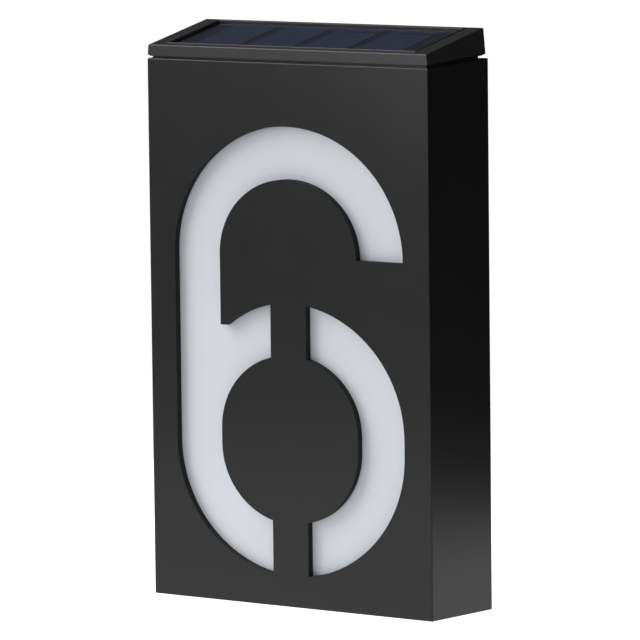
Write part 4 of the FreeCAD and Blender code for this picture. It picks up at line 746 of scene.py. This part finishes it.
# ---------------------------------------------------------------- filter capacitor
# An aluminium can in a shrunk sleeve. A pale stripe marks its negative leg, and the bare top is
# scored with a cross so that it can give way. The cross is not cut: its lines are painted shade,
# dark grey on the bare metal where the grooves would be in shade.
CAN_X, CAN_Z = 0.016, -0.100
CAN_RADIUS, CAN_TOP = 0.0025, -0.0154
STRIPE_START, BARE_RADIUS = CAN_RADIUS * 0.86, CAN_RADIUS * 0.8
BARE_DEPTH = 0.0002
SCORE_HALF_WIDTH = 0.00012

can_sleeve = new_finish("capacitor_sleeve", (0.015, 0.018, 0.03), 0.3)
mottle(can_sleeve, 0.002, (0.011, 0.014, 0.024), (0.02, 0.024, 0.038), 3)
off_middle = reckon(can_sleeve, "SUBTRACT", own_place(can_sleeve, "X"), CAN_X)
off_side = reckon(can_sleeve, "SUBTRACT", own_place(can_sleeve, "Z"), CAN_Z)
overlay(can_sleeve, reckon(can_sleeve, "GREATER_THAN", off_middle, STRIPE_START), (0.55, 0.56, 0.58))
from_axis = reckon(can_sleeve, "SQRT", reckon(
    can_sleeve, "ADD",
    reckon(can_sleeve, "MULTIPLY", off_middle, off_middle),
    reckon(can_sleeve, "MULTIPLY", off_side, off_side),
))
bare_top = reckon(
    can_sleeve, "MULTIPLY",
    reckon(can_sleeve, "LESS_THAN", from_axis, BARE_RADIUS),
    reckon(can_sleeve, "LESS_THAN", own_place(can_sleeve, "Y"), CAN_TOP + BARE_DEPTH),
)
overlay(can_sleeve, bare_top, (0.7, 0.7, 0.69))
# Painted shade: the scored cross is dark grey lines painted on the bare top, in place of the shade
# in real grooves.
from_cross = reckon(
    can_sleeve, "MINIMUM",
    reckon(can_sleeve, "ABSOLUTE", off_middle),
    reckon(can_sleeve, "ABSOLUTE", off_side),
)
score_groove_shade = reckon(can_sleeve, "LESS_THAN", from_cross, SCORE_HALF_WIDTH)
overlay(can_sleeve, reckon(can_sleeve, "MULTIPLY", bare_top, score_groove_shade), (0.3, 0.3, 0.3))
feed(can_sleeve, "Metallic", bare_top)
dress(can_sleeve, "filter_capacitor")

# ---------------------------------------------------------------- headers and plugs
# Three small two-pin headers of natural nylon stand on the board, and the leads' plugs, of a
# slightly whiter nylon, are pushed into them.


def moulded_nylon(name, colour, dark, light, roughness):
    """Nylon, which is a little cloudy, with a fine moulded grain."""
    finish = new_finish(name, colour, roughness)
    mottle(finish, 0.003, dark, light, 3)
    grain(finish, 0.0004, 0.000008)
    return finish


header_nylon = moulded_nylon(
    "header_nylon", (0.7, 0.68, 0.6), (0.66, 0.63, 0.54), (0.74, 0.72, 0.65), 0.45)
dress(header_nylon, "board_headers")
plug_nylon = moulded_nylon(
    "plug_nylon", (0.8, 0.79, 0.75), (0.76, 0.75, 0.7), (0.84, 0.83, 0.8), 0.4)
dress(plug_nylon, "lead_plugs")

# ---------------------------------------------------------------- board screws
# Two short screws of the same zinc-plated steel go through the control board into the posts of
# the rear cover, from inside, before the cover is closed.
BOARD_SCREW_SIDE, BOARD_SCREW_HEIGHT = 0.022, -0.092
BOARD_THREAD_START = -0.007

dress(screw_zinc, "board_screws")
board_starts = [(side * BOARD_SCREW_SIDE, BOARD_THREAD_START, BOARD_SCREW_HEIGHT)
                for side in (-1, 1)]
cut_threads("board_screw_threads", "sign", board_starts, (0, 1, 0),
            length=0.0028, shank=0.001, pitch=0.0008)

# ---------------------------------------------------------------- slide switch
# The switch has a bent case of tinned steel. Its black knob comes through the rear cover and is
# a little shiny where fingertips rub it.
RUBBED_FROM, RUBBED_REACH = -0.0009, 0.0005

switch_steel = new_finish("switch_steel", (0.6, 0.6, 0.59), 0.34, 1.0)
mottle(switch_steel, 0.002, (0.5, 0.5, 0.49), (0.66, 0.66, 0.65), 4, strong=True)
grain(switch_steel, 0.0006, 0.00001, 3, stretch=(0.15, 1, 1))
dress(switch_steel, "switch_case")

knob_black = new_finish("knob_black", (0.02, 0.02, 0.021), 0.42)
mottle(knob_black, 0.0015, (0.015, 0.015, 0.016), (0.026, 0.026, 0.028), 3)
rubbed = spread(knob_black, own_place(knob_black, "Y"), 0.5, 0.3, RUBBED_FROM, RUBBED_REACH)
feed(knob_black, "Roughness", rubbed)
dress(knob_black, "switch_knob")

# ---------------------------------------------------------------- leads
# Three pairs of thin stranded wires in soft insulation, one red and one black in each pair,
# join the panel, the LED board and the battery to their plugs. Their far ends are soldered.
LEAD_RADIUS = 0.0006
PLUG_Y, PLUG_MOUTH = -0.0109, -0.0754
PANEL_PLUG_X, BATTERY_PLUG_X, LED_PLUG_X = HEADER_PLACES
LED_END_Z, LED_LEAD_SIDE = -0.066, 0.0008
PANEL_END_X, PANEL_END_Y, PANEL_LEAD_SIDE = -0.02, -0.012097, 0.0009
PANEL_BEND_STEP = 0.0005


def soft_insulation(name, colour, pale):
    """Soft PVC, slightly uneven in colour, with a faint ripple."""
    finish = new_finish(name, colour, 0.42)
    mottle(finish, 0.003, colour, pale, 3)
    grain(finish, 0.0009, 0.00001)
    return finish


red_wire = soft_insulation("red_insulation", (0.42, 0.015, 0.012), (0.55, 0.03, 0.025))
black_wire = soft_insulation("black_insulation", (0.013, 0.013, 0.014), (0.03, 0.03, 0.032))


def lay_leads(name, node, routes):
    """A pair of round leads that follow the routes, in place of the eight-sided ones."""
    lines = bpy.data.curves.new(name, "CURVE")
    lines.dimensions = "3D"
    lines.bevel_depth = LEAD_RADIUS
    lines.bevel_resolution = 3
    lines.resolution_u = 12
    lines.use_fill_caps = True
    lines.materials.append(black_wire)
    lines.materials.append(red_wire)
    for number, route in enumerate(routes):
        line = lines.splines.new("NURBS")
        line.points.add(len(route) - 1)
        for point, place in zip(line.points, route):
            point.co = (*place, 1)
        line.order_u = 3
        line.use_endpoint_u = True
        line.material_index = number
    pair = bpy.data.objects.new(name, lines)
    bpy.context.scene.collection.objects.link(pair)
    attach(pair, "sign")
    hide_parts(node)


lay_leads("battery_lead_pair", "battery_leads", [(
    (BATTERY_PLUG_X + side * PIN_SIDE, PLUG_Y, PLUG_MOUTH),
    (BATTERY_PLUG_X + side * PIN_SIDE, PLUG_Y, -0.0714),
    (side * 0.013, -0.0152, -0.0714),
    (side * 0.02585, -0.0162, -0.061),
    (side * 0.02585, -0.0162, -0.047),
) for side in (-1, 1)])

lay_leads("led_lead_pair", "led_leads", [(
    (LED_PLUG_X + side * PIN_SIDE, PLUG_Y, PLUG_MOUTH),
    (LED_PLUG_X + side * PIN_SIDE, PLUG_Y, -0.0704 + side * PIN_SIDE),
    (0.0088, -0.0129, LED_END_Z + side * LED_LEAD_SIDE),
    (0.0088, -0.0208, LED_END_Z + side * LED_LEAD_SIDE),
    (0.0032, -0.0208, LED_END_Z + side * LED_LEAD_SIDE),
) for side in (-1, 1)])

lay_leads("panel_lead_pair", "panel_leads", [(
    (PANEL_END_X + side * PANEL_LEAD_SIDE, PANEL_END_Y, 0.048806),
    (PANEL_END_X + side * PANEL_LEAD_SIDE, -0.011594, 0.03441 - side * PANEL_BEND_STEP),
    (-0.042 + side * PANEL_LEAD_SIDE, -0.0125, 0.016 - side * PANEL_BEND_STEP),
    (-0.042 + side * PANEL_LEAD_SIDE, -0.0125, -0.054 + side * PANEL_BEND_STEP),
    (PANEL_PLUG_X + side * PIN_SIDE, PLUG_Y, -0.0694 + side * PIN_SIDE),
    (PANEL_PLUG_X + side * PIN_SIDE, PLUG_Y, PLUG_MOUTH),
) for side in (-1, 1)])

lead_ends = bmesh.new()
for side in (-1, 1):
    battery_end = (side * 0.02525, -0.01585, -0.0467)
    led_end = (0.003, LED_BOARD_FRONT, LED_END_Z + side * LED_LEAD_SIDE)
    panel_end = (PANEL_END_X + side * PANEL_LEAD_SIDE, PANEL_END_Y, 0.04885)
    add_solder(lead_ends, battery_end, (side, 0, 0), radius=0.0006, height=0.0009)
    add_solder(lead_ends, led_end, (0, -1, 0), radius=0.00075, height=0.001)
    add_solder(lead_ends, panel_end, (0, 0, -1), radius=0.0008, height=0.0008)
lead_solder = new_piece("lead_solder", lead_ends, tin)
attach(lead_solder, "sign")
